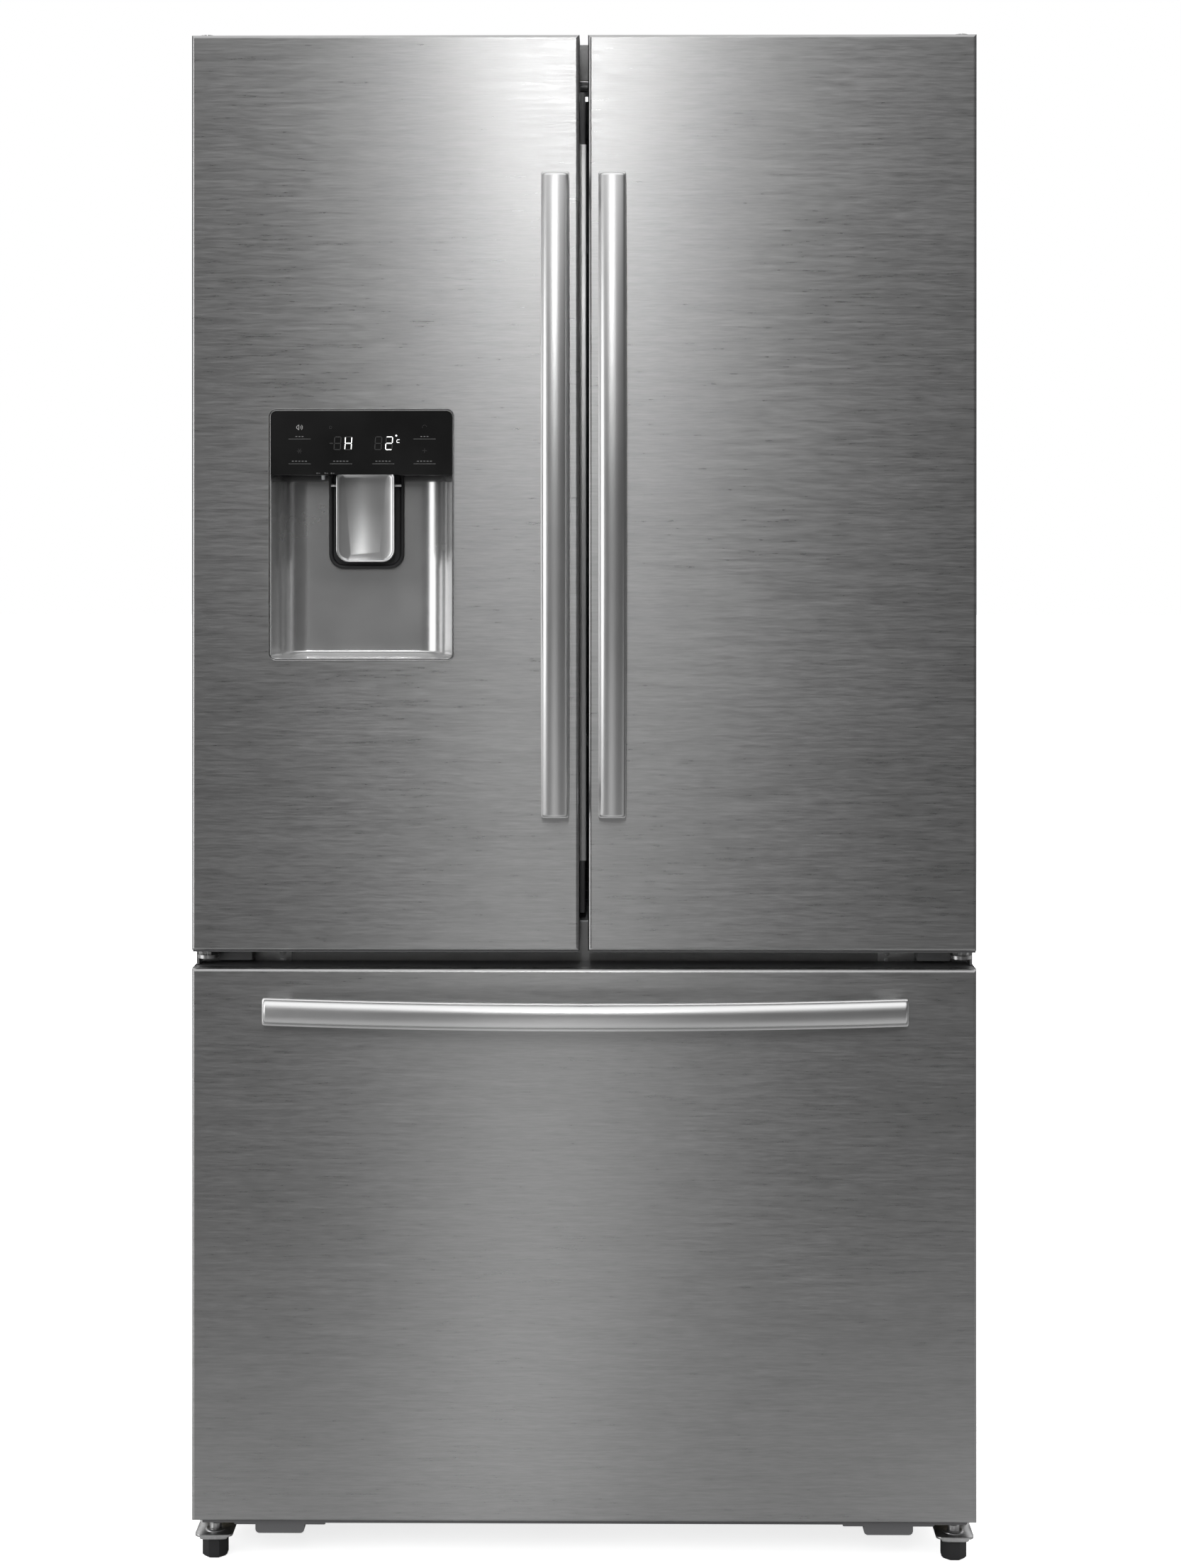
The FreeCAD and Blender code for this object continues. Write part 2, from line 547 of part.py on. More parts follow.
def rear_cover_nodes():
    """Louvred steel cover of the machine space, and the mains inlet's gland."""
    x_in = LINER_HALF
    cover = box(-x_in + 2, x_in - 2, REAR - 3, REAR - 1.5, TRAY_Z, STEP_Z - 2)
    gland_x, gland_z, half_w, half_h = 295.0, 117.5, 25.0, 22.5
    slots = [box(x, x + 40, REAR - 4, REAR, z, z + 5)
             for x in range(-370, 341, 56) for z in range(90, 301, 18)
             if abs(x + 20 - gland_x) > 2 * half_h or z > gland_z + 2 * half_h - 2.5]
    gland = box(gland_x - half_w, gland_x + half_w, REAR - 8, REAR - 0.5,
                gland_z - half_h, gland_z + half_h)
    gland = rounded(gland, 6.0, Y_AXIS)
    save("rear_cover", cover.cut(Part.makeCompound(slots)).cut(gland))
    bush_r, lead_r, bush_z = 9.0, 4.5, gland_z + TINY
    bush = rod(V(gland_x, REAR - 20, bush_z), Y_AXIS, 16, bush_r)
    lead_way = rod(V(gland_x, REAR - 21, bush_z), Y_AXIS, 22, lead_r)
    save("power_inlet", fuse([gland, bush]).cut(lead_way))


def machine_nodes():
    save("machine_tray", machine_tray())
    save("rear_rollers", rear_rollers())
    save("compressor", compressor())
    save("condenser_coil", condenser_coil())
    save("condenser_fan", fan(V(FAN_X, FAN_Y, FAN_HEIGHT), X_AXIS, 18, 62, 18, 5, 2.0, 30))
    rear_cover_nodes()


# ---------------------------------------------------------------- feet
FOOT_X, FOOT_Y = 432.0, -280.0
FOOT_R, FOOT_H = 14.5, 21.0
STUD_R = 4.5
BRACKET_Z, BRACKET_T = 27.0, 3.0
STUD_LEN = 25.0


def foot(side):
    x = side * FOOT_X
    sides = 8
    half_turn = math.pi / sides
    reach = FOOT_R / math.cos(half_turn)
    corners = [V(x + reach * math.cos((2 * i + 1) * half_turn),
                 FOOT_Y + reach * math.sin((2 * i + 1) * half_turn), 0) for i in range(sides)]
    cap = Part.Face(Part.makePolygon(corners + corners[:1])).extrude(V(0, 0, FOOT_H))
    low = [e for e in cap.Edges if e.CenterOfMass.z < 0.01]
    cap = cap.makeChamfer(2.5, low)
    stud = rod(V(x, FOOT_Y, FOOT_H - 1), Z_AXIS, STUD_LEN, STUD_R)
    return fuse([cap, stud])


def foot_bracket():
    """Plated angle that carries a levelling foot, with a threaded boss and two side webs."""
    half, front, back = 22.0, FOOT_Y - 22, CAB_FRONT + 60
    x0, x1 = FOOT_X - half, FOOT_X + half
    plate = box(x0, x1, front, back, BRACKET_Z, BRACKET_Z + BRACKET_T)
    lip = box(x0, x1, front, front + BRACKET_T, BRACKET_Z - 4, BRACKET_Z + BRACKET_T)
    angle = rounded(fuse([plate, lip]), 2.0, X_AXIS,
                    lambda m: m.y < front + 1 and m.z > BRACKET_Z)
    webs = [box(x, x + BRACKET_T, CAB_FRONT - 20, back, BRACKET_Z, CAB_BOTTOM)
            for x in (x0, x1 - BRACKET_T)]
    boss = rod(V(FOOT_X, FOOT_Y, BRACKET_Z), Z_AXIS, 7, 12)
    thread = rod(V(FOOT_X, FOOT_Y, BRACKET_Z - 1), Z_AXIS, 10, STUD_R + PIN_FIT)
    return fuse([angle, boss] + webs).cut(thread)


# ---------------------------------------------------------------- doors
DISP_X0, DISP_X1 = -365.6, -149.9
DISP_Z0, DISP_Z1 = 1049.0, 1341.4
DISP_BACK = BACK - 12.0
BEZEL_W, BEZEL_R = 2.6, 9.0
PANEL_Z = 1265.0                       # bottom edge of the display's glass
NOZZLE_X = -256.0
PADDLE_X0, PADDLE_X1 = -290.0, -221.5
PADDLE_BOTTOM = 1163.0
PADDLE_PIN_R = 2.0
BIN_LEVELS = {-1: (955.0, 1165.0, 1420.0), 1: (955.0, 1165.0, 1365.0)}
BIN_Y1 = -140.0
DYKE_OUT, DYKE_IN = 396.0, 58.0
DYKE_DEPTH = 46.0


def door_bins(side, levels):
    bins = []
    for z in levels:
        x0, x1 = DYKE_IN + 17, DYKE_OUT - 17
        shell = tray(x0, x1, BACK + 2, BIN_Y1, z, z + 95, 3.0, 14.0)
        shell = shell if side > 0 else mirror_x(shell)
        bins.append(shell)
    return bins


def door_nodes(name, side):
    """side is -1 for the left door and +1 for the right door."""
    xa, xb = DOOR_GAP / 2, HALF_W
    x0, x1 = (xa, xb) if side > 0 else (-xb, -xa)
    z0, z1 = DOOR_BOTTOM, DOOR_TOP
    pin_x = side * HINGE_X
    cap_low, cap_high = z0 - 2.0, z1 - CAP_DROP

    skin = panel_skin(x0, x1, z0, z1)
    caps = [end_cap(x0, x1, cap_low, cap_low + CAP_T, pin_x),
            end_cap(x0, x1, cap_high - CAP_T, cap_high, pin_x)]
    fx0, fx1 = x0 + SHEET, x1 - SHEET
    fy0, fy1 = FACE + SHEET, BACK - LINER_T
    fz0, fz1 = cap_low + CAP_T, cap_high - CAP_T
    if side < 0:
        hole = box(DISP_X0 + 1.5, DISP_X1 - 1.5, FACE - 5, DISP_BACK, DISP_Z0 + 1.5, DISP_Z1 - 1.5)
        skin = skin.cut(rounded(hole, BEZEL_R - 1, Y_AXIS))
        hx0, hx1, hz0, hz1 = DISP_X0 + 1, DISP_X1 - 1, DISP_Z0 + 1, DISP_Z1 - 1
        blocks = [(fx0, hx0, fy0, fy1, fz0, fz1), (hx1, fx1, fy0, fy1, fz0, fz1),
                  (hx0, hx1, fy0, fy1, fz0, hz0), (hx0, hx1, fy0, fy1, hz1, fz1),
                  (hx0, hx1, DISP_BACK, fy1, hz0, hz1)]
    else:
        blocks = [(fx0, fx1, fy0, fy1, fz0, fz1)]
    slabs = [foam_slab(*block, fx0, fx1) for block in blocks]
    save(name + "_skin", skin)
    save(name + "_caps", Part.makeCompound(caps))
    save(name + "_foam", Part.makeCompound(slabs))

    dz0, dz1 = FRIDGE_FLOOR + 12, FRIDGE_CEILING - 12
    liner = dyke(DYKE_IN, DYKE_OUT, dz0, dz1, DYKE_DEPTH, 14.0,
                 xa + SHEET, xb - SHEET, fz0, fz1)
    liner = liner if side > 0 else mirror_x(liner)
    if side < 0:
        liner = fuse([liner] + flap_lugs())
    save(name + "_liner", liner)

    gx0, gx1 = xa + 3, HINGE_X - 3
    gz0, gz1 = FRIDGE_FLOOR - 19, FRIDGE_CEILING + 22
    seal = magnet_gasket(gx0, gx1, gz0, gz1)
    save(name + "_gasket", seal if side > 0 else mirror_x(seal))

    handle = handle_bar()
    handle.translate(V(side * 33.0, FACE, (869.0 + 1614.0) / 2))
    save(name.split("_")[0] + "_handle", handle)
    bins = door_bins(side, BIN_LEVELS[side])
    if side > 0:
        bins.append(dairy_box())
    save(name + "_bins", Part.makeCompound(bins))


FLAP_X, FLAP_Y = -42.0, CAB_FRONT + 9.0
FLAP_Z0, FLAP_Z1 = FRIDGE_FLOOR + 11, FRIDGE_CEILING - 14


def flap_lugs():
    lugs = []
    for z in (FLAP_Z0 - 7.0, FLAP_Z1 + 2.0):
        arm = box(-DYKE_IN - 1, FLAP_X, FLAP_Y - 5, FLAP_Y + 5, z, z + 5)
        knuckle = rod(V(FLAP_X, FLAP_Y, z), Z_AXIS, 5, 5)
        lug = fuse([arm, knuckle]).cut(rod(V(FLAP_X, FLAP_Y, z - 1), Z_AXIS, 7, 2.5 + PIN_FIT))
        lugs.append(lug)
    return lugs


def mullion_flap():
    body = box(FLAP_X - 5, 1.0, CAB_FRONT, CAB_FRONT + 20, FLAP_Z0, FLAP_Z1)
    body = rounded(body, 4.0, Z_AXIS, lambda m: m.y > CAB_FRONT + 19 or m.x < FLAP_X)
    strip = box(-6.0, 0.4, CAB_FRONT - 1.0, CAB_FRONT + 1, FLAP_Z0 + 62, FLAP_Z1 - 62)
    pins = rod(V(FLAP_X, FLAP_Y, FLAP_Z0 - 6.5), Z_AXIS, FLAP_Z1 - FLAP_Z0 + 13, 2.5)
    return fuse([body, strip, pins])


DAIRY_Z = 1505.0
DAIRY_X0, DAIRY_X1 = DYKE_IN + 17, DYKE_OUT - 17
LID_PIN = V(DAIRY_X0, BACK + 12, DAIRY_Z + 98)


def dairy_box():
    """Tray and two cheeks that carry the lid's pin."""
    base = tray(DAIRY_X0 + 2, DAIRY_X1 - 2, BACK + 2, BIN_Y1 - 8, DAIRY_Z, DAIRY_Z + 60, 3.0, 8.0)
    cheeks = []
    for x in (DAIRY_X0 - 2.5, DAIRY_X1 - 0.5):
        cheek = box(x, x + 3, BACK + 1, BACK + 26, DAIRY_Z + 40, LID_PIN.z + 8)
        hole = rod(V(x - 1, LID_PIN.y, LID_PIN.z), X_AXIS, 5, 2.5 + PIN_FIT)
        cheeks.append(cheek.cut(hole))
    return fuse([base] + cheeks)


def dairy_lid():
    y_in, y_out, z, t = LID_PIN.y, BIN_Y1, LID_PIN.z, 3.0
    lid = prism_x([(y_in, z), (y_out - 22, z), (y_out - 5, z - 14), (y_out - 5, z - 62),
                   (y_out - 5 + t, z - 62), (y_out - 5 + t, z - 12.8), (y_out - 21, z + t),
                   (y_in, z + t)], DAIRY_X0 + 4, DAIRY_X1 - 4)
    pin = rod(V(DAIRY_X0 - 2.5, y_in, z), X_AXIS, DAIRY_X1 - DAIRY_X0 + 5, 2.5)
    knuckle = rod(V(DAIRY_X0 + 4, y_in, z), X_AXIS, DAIRY_X1 - DAIRY_X0 - 8, 5)
    return fuse([lid, knuckle, pin])


def dispenser_nodes():
    flange = ring_xz(DISP_X0, DISP_X1, FACE - 1.5, FACE, DISP_Z0, DISP_Z1, BEZEL_W, BEZEL_R)
    inset = 1.6
    neck = ring_xz(DISP_X0 + inset, DISP_X1 - inset, FACE - 0.5, FACE + 3,
                   DISP_Z0 + inset, DISP_Z1 - inset, BEZEL_W - inset, BEZEL_R - 1)
    save("dispenser_bezel", fuse([flange, neck]))
    ix0, ix1, iz0, iz1 = DISP_X0 + BEZEL_W, DISP_X1 - BEZEL_W, DISP_Z0 + BEZEL_W, DISP_Z1 - BEZEL_W
    glass = box(ix0, ix1, FACE - 1.0, FACE + 9, PANEL_Z, iz1)
    glass = rounded(glass, BEZEL_R - inset, Y_AXIS, lambda m: m.z > iz1 - 1)
    save("display_panel", glass)

    outer = box(ix0, ix1, FACE + 3, DISP_BACK, iz0, PANEL_Z)
    y0, y1 = FACE - 1, DISP_BACK - 3
    taper, floor_t, roof_t = 13.0, 9.0, 6.0
    bottom = Part.makePolygon([V(ix0 + 2, y0, 0), V(ix1 - 2, y0, 0), V(ix1 - taper, y1, 0),
                               V(ix0 + taper, y1, 0), V(ix0 + 2, y0, 0)])
    cavity = Part.Face(bottom).extrude(V(0, 0, PANEL_Z - roof_t - iz0 - floor_t))
    cavity.translate(V(0, 0, iz0 + floor_t))
    cavity = rounded(cavity, 18.0, Z_AXIS, lambda m: m.y > y1 - 1)
    nozzle = fuse([rod(V(NOZZLE_X, y1 - 24, PANEL_Z - 26), Z_AXIS, 21, 7),
                   rod(V(NOZZLE_X, y1 - 24, PANEL_Z - 10), Z_AXIS, 5, 13)])
    roof = box(ix0, ix1, FACE + 9.5, DISP_BACK, PANEL_Z, iz1)
    shell = fuse([outer.cut(cavity), roof])
    pin_y, pin_z, lug_w = y1 - 11, PANEL_Z - 12, 3.0
    lugs = []
    for x in (PADDLE_X0 - 7.5, PADDLE_X1 + 4.5):
        lug = box(x, x + lug_w, pin_y - 5, y1 + 1, pin_z - 4, pin_z + 5)
        lugs.append(lug.cut(rod(V(x - 1, pin_y, pin_z), X_AXIS, 5, PADDLE_PIN_R + PIN_FIT)))
    save("dispenser_housing", fuse([shell] + lugs + [nozzle]))

    pad = box(PADDLE_X0, PADDLE_X1, pin_y - 1.5, pin_y + 1.5, PADDLE_BOTTOM, pin_z + 2)
    pad = rounded(pad, 14.0, Y_AXIS, lambda m: m.z < PADDLE_BOTTOM + 1)
    around_nozzle = box(NOZZLE_X - 14, NOZZLE_X + 14, pin_y - 29, y1 + 2, pin_z - 22, pin_z + 20)
    pin_run = 27.5
    pins = [rod(V(x, pin_y, pin_z), X_AXIS, pin_run, PADDLE_PIN_R)
            for x in (PADDLE_X0 - 7.0, PADDLE_X1 - 20.5)]
    save("dispenser_paddle", fuse([pad.cut(around_nozzle)] + pins))

    tank_z0, tank_z1, lid_t = 1570.0, 1680.0, 6.0
    tank = box(-DYKE_OUT + 22, -DYKE_IN - 22, BACK + 1, BIN_Y1 - 4, tank_z0, tank_z1)
    tank = rounded(tank, 10.0, Z_AXIS)
    lid = box(-DYKE_OUT + 19, -DYKE_IN - 19, BACK + 1, BIN_Y1 - 2, tank_z1, tank_z1 + lid_t)
    cap = rod(V(-200, -195, tank_z1 + lid_t), Z_AXIS, 5, 20)
    save("water_tank", fuse([tank, rounded(lid, 8.0, Z_AXIS), cap]))


# ---------------------------------------------------------------- freezer drawer
BASKET_HALF = 368.0
RAIL_Z0, RAIL_Z1 = 170.0, 208.0


def slide_member(x0, x1, y0, y1):
    """Channel of a telescopic slide, open towards the inside."""
    bar = box(x0, x1, y0, y1, RAIL_Z0, RAIL_Z1)
    return bar.cut(box(x0 - 1, x1 - 2, y0 - 1, y1 + 1, RAIL_Z0 + 8, RAIL_Z1 - 8))


def drawer_foot_cap():
    """Lower end cap of the drawer front, which shows below the steel, with two skids."""
    x0, x1 = -HALF_W, HALF_W
    inside = end_cap(x0, x1, DRAWER_BOTTOM + 1, DRAWER_BOTTOM + CAP_T)
    strip_half, skid_x, skid_half, flange_half = 443.0, 353.0, 28.5, 53.0
    y0, y1 = FACE + FOLD_R, FACE + 40
    strip = box(-strip_half, strip_half, FACE + END_FOLD, BACK - 8, DRAWER_BOTTOM - 3,
                DRAWER_BOTTOM + 2)
    brow = box(-strip_half, strip_half, y0, FACE + END_FOLD + 1, DRAWER_BOTTOM - 3, DRAWER_BOTTOM)
    skid = box(skid_x - skid_half, skid_x + skid_half, y0, y1, DRAWER_BOTTOM - 15, DRAWER_BOTTOM)
    skid = rounded(skid, 5.0, Y_AXIS, lambda m: m.z < DRAWER_BOTTOM - 14)
    flange = box(skid_x - flange_half, skid_x + flange_half, y0, y1, DRAWER_BOTTOM - 5,
                 DRAWER_BOTTOM - 2)
    flange = rounded(flange, 1.5, Y_AXIS, lambda m: m.z < DRAWER_BOTTOM - 4)
    foot_side = fuse([skid, flange])
    return fuse([inside, strip, brow, foot_side, mirror_x(foot_side)])


def drawer_nodes():
    x0, x1, z0, z1 = -HALF_W, HALF_W, DRAWER_BOTTOM, DRAWER_TOP
    save("drawer_skin", panel_skin(x0, x1, z0, z1))
    cap_high = z1 - 1.0
    caps = [drawer_foot_cap(), end_cap(x0, x1, cap_high - CAP_T, cap_high)]
    save("drawer_caps", Part.makeCompound(caps))
    fz0, fz1 = z0 + CAP_T, cap_high - CAP_T
    fx0, fx1 = x0 + SHEET, x1 - SHEET
    save("drawer_foam", foam_slab(fx0, fx1, FACE + SHEET, BACK - LINER_T, fz0, fz1, fx0, fx1))
    save("drawer_liner", dyke(-360, 360, 118, 640, 18, 14.0, x0 + SHEET, x1 - SHEET, fz0, fz1))
    save("drawer_gasket", magnet_gasket(-HINGE_X + 3, HINGE_X - 3, FREEZER_FLOOR - 33,
                                        FREEZER_CEILING + 19))
    handle = handle_bar()
    handle.rotate(V(0, 0, 0), Y_AXIS, 90)
    handle.translate(V(1.5, FACE, 644.5))
    save("drawer_handle", handle)

    basket = tray(-BASKET_HALF, BASKET_HALF, BACK + 19, 112, 125, 345, 3.0, 22.0)
    rim = box(-BASKET_HALF - 1, BASKET_HALF + 1, BACK + 19, 113, 345, 350)
    rim = rim.cut(box(-BASKET_HALF + 8, BASKET_HALF - 8, BACK + 27, 104, 340, 355))
    save("drawer_basket", fuse([basket, rim]))
    inner = slide_member(370.5, 378, BACK, 118)
    foot_plate = box(368.5, 378, BACK, BACK + 4, RAIL_Z0 - 40, RAIL_Z1 + 40)
    save("inner_slides", both_sides(fuse([inner, foot_plate])))
    save("middle_slides", both_sides(slide_member(380, 388, CAB_FRONT + 10, 120)))
    fixed = slide_member(390, 400, CAB_FRONT + 10, 120)
    lugs = [box(399, IN_HALF, y, y + 24, RAIL_Z0 + 8, RAIL_Z1 - 8) for y in (-200, 60)]
    save("fixed_slides", both_sides(fuse([fixed] + lugs)))

    rack = tray(-BASKET_HALF + 12, BASKET_HALF - 12, BACK + 24, -30, 354, 430, 3.0, 18.0)
    runners = [box(x, x + 10, BACK + 40, -45, 350.4, 356)
               for x in (-BASKET_HALF, BASKET_HALF - 10)]
    flanges = [box(-BASKET_HALF, -BASKET_HALF + 16, BACK + 40, -45, 354, 357),
               box(BASKET_HALF - 16, BASKET_HALF, BACK + 40, -45, 354, 357)]
    save("freezer_tray", fuse([rack] + runners + flanges))


# ---------------------------------------------------------------- build every node
def main():
    cabinet_nodes()
    hinge_nodes()
    shelf_nodes()
    save("crisper_left", crisper(-1))
    save("crisper_right", crisper(1))
    freezer_nodes()
    machine_nodes()
    for name, side in (("foot_left", -1), ("foot_right", 1)):
        save(name, foot(side))
    save("foot_brackets", both_sides(foot_bracket()))
    door_nodes("left_door", -1)
    door_nodes("right_door", 1)
    save("dairy_lid", dairy_lid())
    save("mullion_flap", mullion_flap())
    dispenser_nodes()
    drawer_nodes()


main()
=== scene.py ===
import json
import math

import bmesh
import bpy
from mathutils import Matrix, Vector


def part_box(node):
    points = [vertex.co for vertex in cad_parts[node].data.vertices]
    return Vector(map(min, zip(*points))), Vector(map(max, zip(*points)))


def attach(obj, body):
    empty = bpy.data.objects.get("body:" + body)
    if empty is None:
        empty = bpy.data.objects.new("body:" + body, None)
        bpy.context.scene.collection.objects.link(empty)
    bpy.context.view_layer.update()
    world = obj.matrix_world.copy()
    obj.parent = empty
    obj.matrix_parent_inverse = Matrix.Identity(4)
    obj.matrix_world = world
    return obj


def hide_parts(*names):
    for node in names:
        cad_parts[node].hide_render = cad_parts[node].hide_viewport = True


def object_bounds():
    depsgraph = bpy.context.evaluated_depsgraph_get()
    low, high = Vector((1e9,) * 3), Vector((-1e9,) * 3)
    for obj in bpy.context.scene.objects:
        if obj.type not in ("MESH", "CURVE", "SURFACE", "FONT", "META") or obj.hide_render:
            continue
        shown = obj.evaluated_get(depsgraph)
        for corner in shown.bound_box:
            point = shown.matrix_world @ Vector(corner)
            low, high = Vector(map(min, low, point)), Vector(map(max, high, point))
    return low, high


# Looks of a French door refrigerator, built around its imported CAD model.
# Metres. -Y is the front, +X the right, +Z up.

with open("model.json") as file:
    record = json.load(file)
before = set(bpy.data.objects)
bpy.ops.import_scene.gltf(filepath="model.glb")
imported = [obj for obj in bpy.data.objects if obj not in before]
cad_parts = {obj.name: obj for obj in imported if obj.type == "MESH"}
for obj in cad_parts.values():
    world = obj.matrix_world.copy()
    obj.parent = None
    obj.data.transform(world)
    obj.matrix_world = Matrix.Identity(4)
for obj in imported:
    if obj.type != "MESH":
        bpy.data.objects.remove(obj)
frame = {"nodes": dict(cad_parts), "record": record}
cad_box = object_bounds()

MM = 0.001
WHITE = (1, 1, 1, 1)
MATERIALS = {}


# ---------------------------------------- node helpers
class Nodes:
    """Short way to write one node tree."""

    def __init__(self, tree):
        self.tree = tree
        tree.nodes.clear()

    def add(self, kind, values=None, **settings):
        node = self.tree.nodes.new(kind)
        for name, value in settings.items():
            setattr(node, name, value)
        for name, value in (values or {}).items():
            socket = node.inputs[name]
            if isinstance(value, bpy.types.NodeSocket):
                self.tree.links.new(value, socket)
            else:
                socket.default_value = value
        return node

    def math(self, operation, a, b=0.0):
        return self.add("ShaderNodeMath", {0: a, 1: b}, operation=operation).outputs[0]

    def noise(self, scale, detail=3.0, rough=0.5, stretch=(1, 1, 1)):
        """Noise over the piece's own coordinates, squeezed along an axis by stretch."""
        place = self.add("ShaderNodeTexCoord").outputs["Object"]
        vector = self.add("ShaderNodeMapping", {"Vector": place, "Scale": stretch}).outputs["Vector"]
        node = self.add("ShaderNodeTexNoise", {"Vector": vector, "Scale": scale,
                                               "Detail": detail, "Roughness": rough})
        return node.outputs["Fac"]

    def ramp(self, fac, low, high, ends=(0.3, 0.7)):
        """Colour from low to high; either one is a grey level or a colour."""
        node = self.add("ShaderNodeValToRGB", {"Fac": fac})
        for point, place, level in zip(node.color_ramp.elements, ends, (low, high)):
            point.position = place
            colour = level if isinstance(level, tuple) else (level, level, level)
            point.color = (*colour, 1)
        return node.outputs["Color"]

    def span(self, value, low, high, out_low, out_high):
        node = self.add("ShaderNodeMapRange", {"Value": value, "From Min": low, "From Max": high,
                                               "To Min": out_low, "To Max": out_high})
        return node.outputs["Result"]

    def grey(self, level):
        return self.add("ShaderNodeCombineColor", {0: level, 1: level, 2: level}).outputs[0]

    def bump(self, height, strength, distance):
        return self.add("ShaderNodeBump", {"Height": height, "Strength": strength,
                                           "Distance": distance}).outputs["Normal"]

    def surface(self, values):
        shader = self.add("ShaderNodeBsdfPrincipled", values)
        self.add("ShaderNodeOutputMaterial", {"Surface": shader.outputs[0]})


def new_material(name):
    """Adds an empty material to MATERIALS; gives its node tree."""
    material = bpy.data.materials.new(name)
    material.use_nodes = True
    MATERIALS[name] = material
    return Nodes(material.node_tree)


def scaled(colour, factor):
    return tuple(min(c * factor, 1.0) for c in colour)


# ---------------------------------------- materials
def brushed_steel(name, level, rough, anisotropic, wear=0.05):
    """Steel with fine level grain: colour, roughness and bump all follow the brushing."""
    n = new_material(name)
    fine = n.noise(1.0, 3.0, 0.6, (45, 45, 620))
    broad = n.noise(1.0, 2.0, 0.5, (14, 14, 260))
    cloud = n.noise(1.6, 2.0, 0.5, (2, 2, 2))
    mix = n.math("ADD", n.math("MULTIPLY", fine, 0.6), n.math("MULTIPLY", broad, 0.4))
    tone = n.span(mix, 0.3, 0.7, level - wear, level + wear)
    soft = n.math("MULTIPLY", n.math("SUBTRACT", cloud, 0.5), 0.06)
    roughness = n.math("ADD", n.span(mix, 0.3, 0.7, rough - 0.04, rough + 0.05), soft)
    upright = n.add("ShaderNodeCombineXYZ", {"Z": 1.0}).outputs[0]
    n.surface({"Base Color": n.grey(tone), "Metallic": 1.0, "Roughness": roughness,
               "Anisotropic": anisotropic, "Tangent": upright,
               "Normal": n.bump(mix, 0.06, 0.0004)})


def metal(name, level, rough, scale=60.0, spread=0.06, bump=0.1, metallic=1.0):
    """Plated or painted steel with faint mottling."""
    n = new_material(name)
    mottle = n.noise(scale, 4.0, 0.6)
    values = {"Base Color": n.ramp(mottle, level - spread, level + spread), "Metallic": metallic,
              "Roughness": n.span(mottle, 0.2, 0.8, rough - 0.03, rough + 0.04)}
    if bump:
        values["Normal"] = n.bump(mottle, bump, 0.0005)
    n.surface(values)


def plastic(name, colour, rough, grain=900.0, bump=0.12, spread=0.06, coat=0.0):
    """Moulded plastic with spark-eroded grain and a slight change of tone."""
    n = new_material(name)
    tooth = n.noise(grain, 3.0, 0.6)
    cloud = n.noise(7.0)
    n.surface({"Base Color": n.ramp(cloud, scaled(colour, 1 - spread), scaled(colour, 1 + spread)),
               "Roughness": n.span(tooth, 0.25, 0.75, rough - 0.05, rough + 0.06),
               "Coat Weight": coat, "Coat Roughness": 0.08,
               "Normal": n.bump(tooth, bump, 0.0003)})


def painted_sheet(name, level):
    """Stucco-embossed painted sheet of the cabinet's sides."""
    n = new_material(name)
    stucco = n.noise(260.0, 2.0)
    cloud = n.noise(2.4)
    n.surface({"Base Color": n.ramp(cloud, level * 0.93, level * 1.06), "Metallic": 0.35,
               "Roughness": n.span(stucco, 0.3, 0.7, 0.40, 0.52),
               "Normal": n.bump(stucco, 0.35, 0.0006)})


def clear_plastic(name, tint, rough, alpha):
    """Injection-moulded clear plastic: part see-through, with faint flow marks."""
    n = new_material(name)
    flow = n.noise(4.0, stretch=(3, 3, 14))
    n.surface({"Base Color": n.ramp(flow, scaled(tint, 0.95), tint),
               "Roughness": n.span(flow, 0.2, 0.8, rough, rough + 0.05),
               "IOR": 1.49, "Alpha": alpha, "Normal": n.bump(flow, 0.03, 0.001)})


def shelf_glass(name):
    n = new_material(name)
    smear = n.noise(9.0, 4.0)
    n.surface({"Base Color": n.ramp(smear, (0.80, 0.90, 0.87), (0.86, 0.94, 0.92)),
               "Roughness": n.span(smear, 0.3, 0.8, 0.02, 0.07), "IOR": 1.52, "Alpha": 0.32})


def black_glass(name):
    n = new_material(name)
    smear = n.noise(14.0, 4.0)
    n.surface({"Base Color": n.ramp(smear, 0.008, 0.014, (0.3, 0.75)),
               "Roughness": n.span(smear, 0.3, 0.8, 0.05, 0.11),
               "Coat Weight": 0.6, "Coat Roughness": 0.03, "Normal": n.bump(smear, 0.02, 0.001)})


def lit_mark(name, strength, level=1.0):
    """Printed or lit mark on the display, or a lamp's lens."""
    n = new_material(name)
    flicker = n.noise(220.0, 2.0)
    colour = n.ramp(flicker, level * 0.85, level, (0.2, 0.8))
    n.surface({"Base Color": colour, "Roughness": 0.4,
               "Emission Color": colour, "Emission Strength": strength})


def foam(name):
    n = new_material(name)
    cells = n.noise(420.0, 4.0, 0.7)
    n.surface({"Base Color": n.ramp(cells, (0.62, 0.55, 0.36), (0.80, 0.73, 0.52)),
               "Roughness": 0.9, "Normal": n.bump(cells, 0.5, 0.001)})


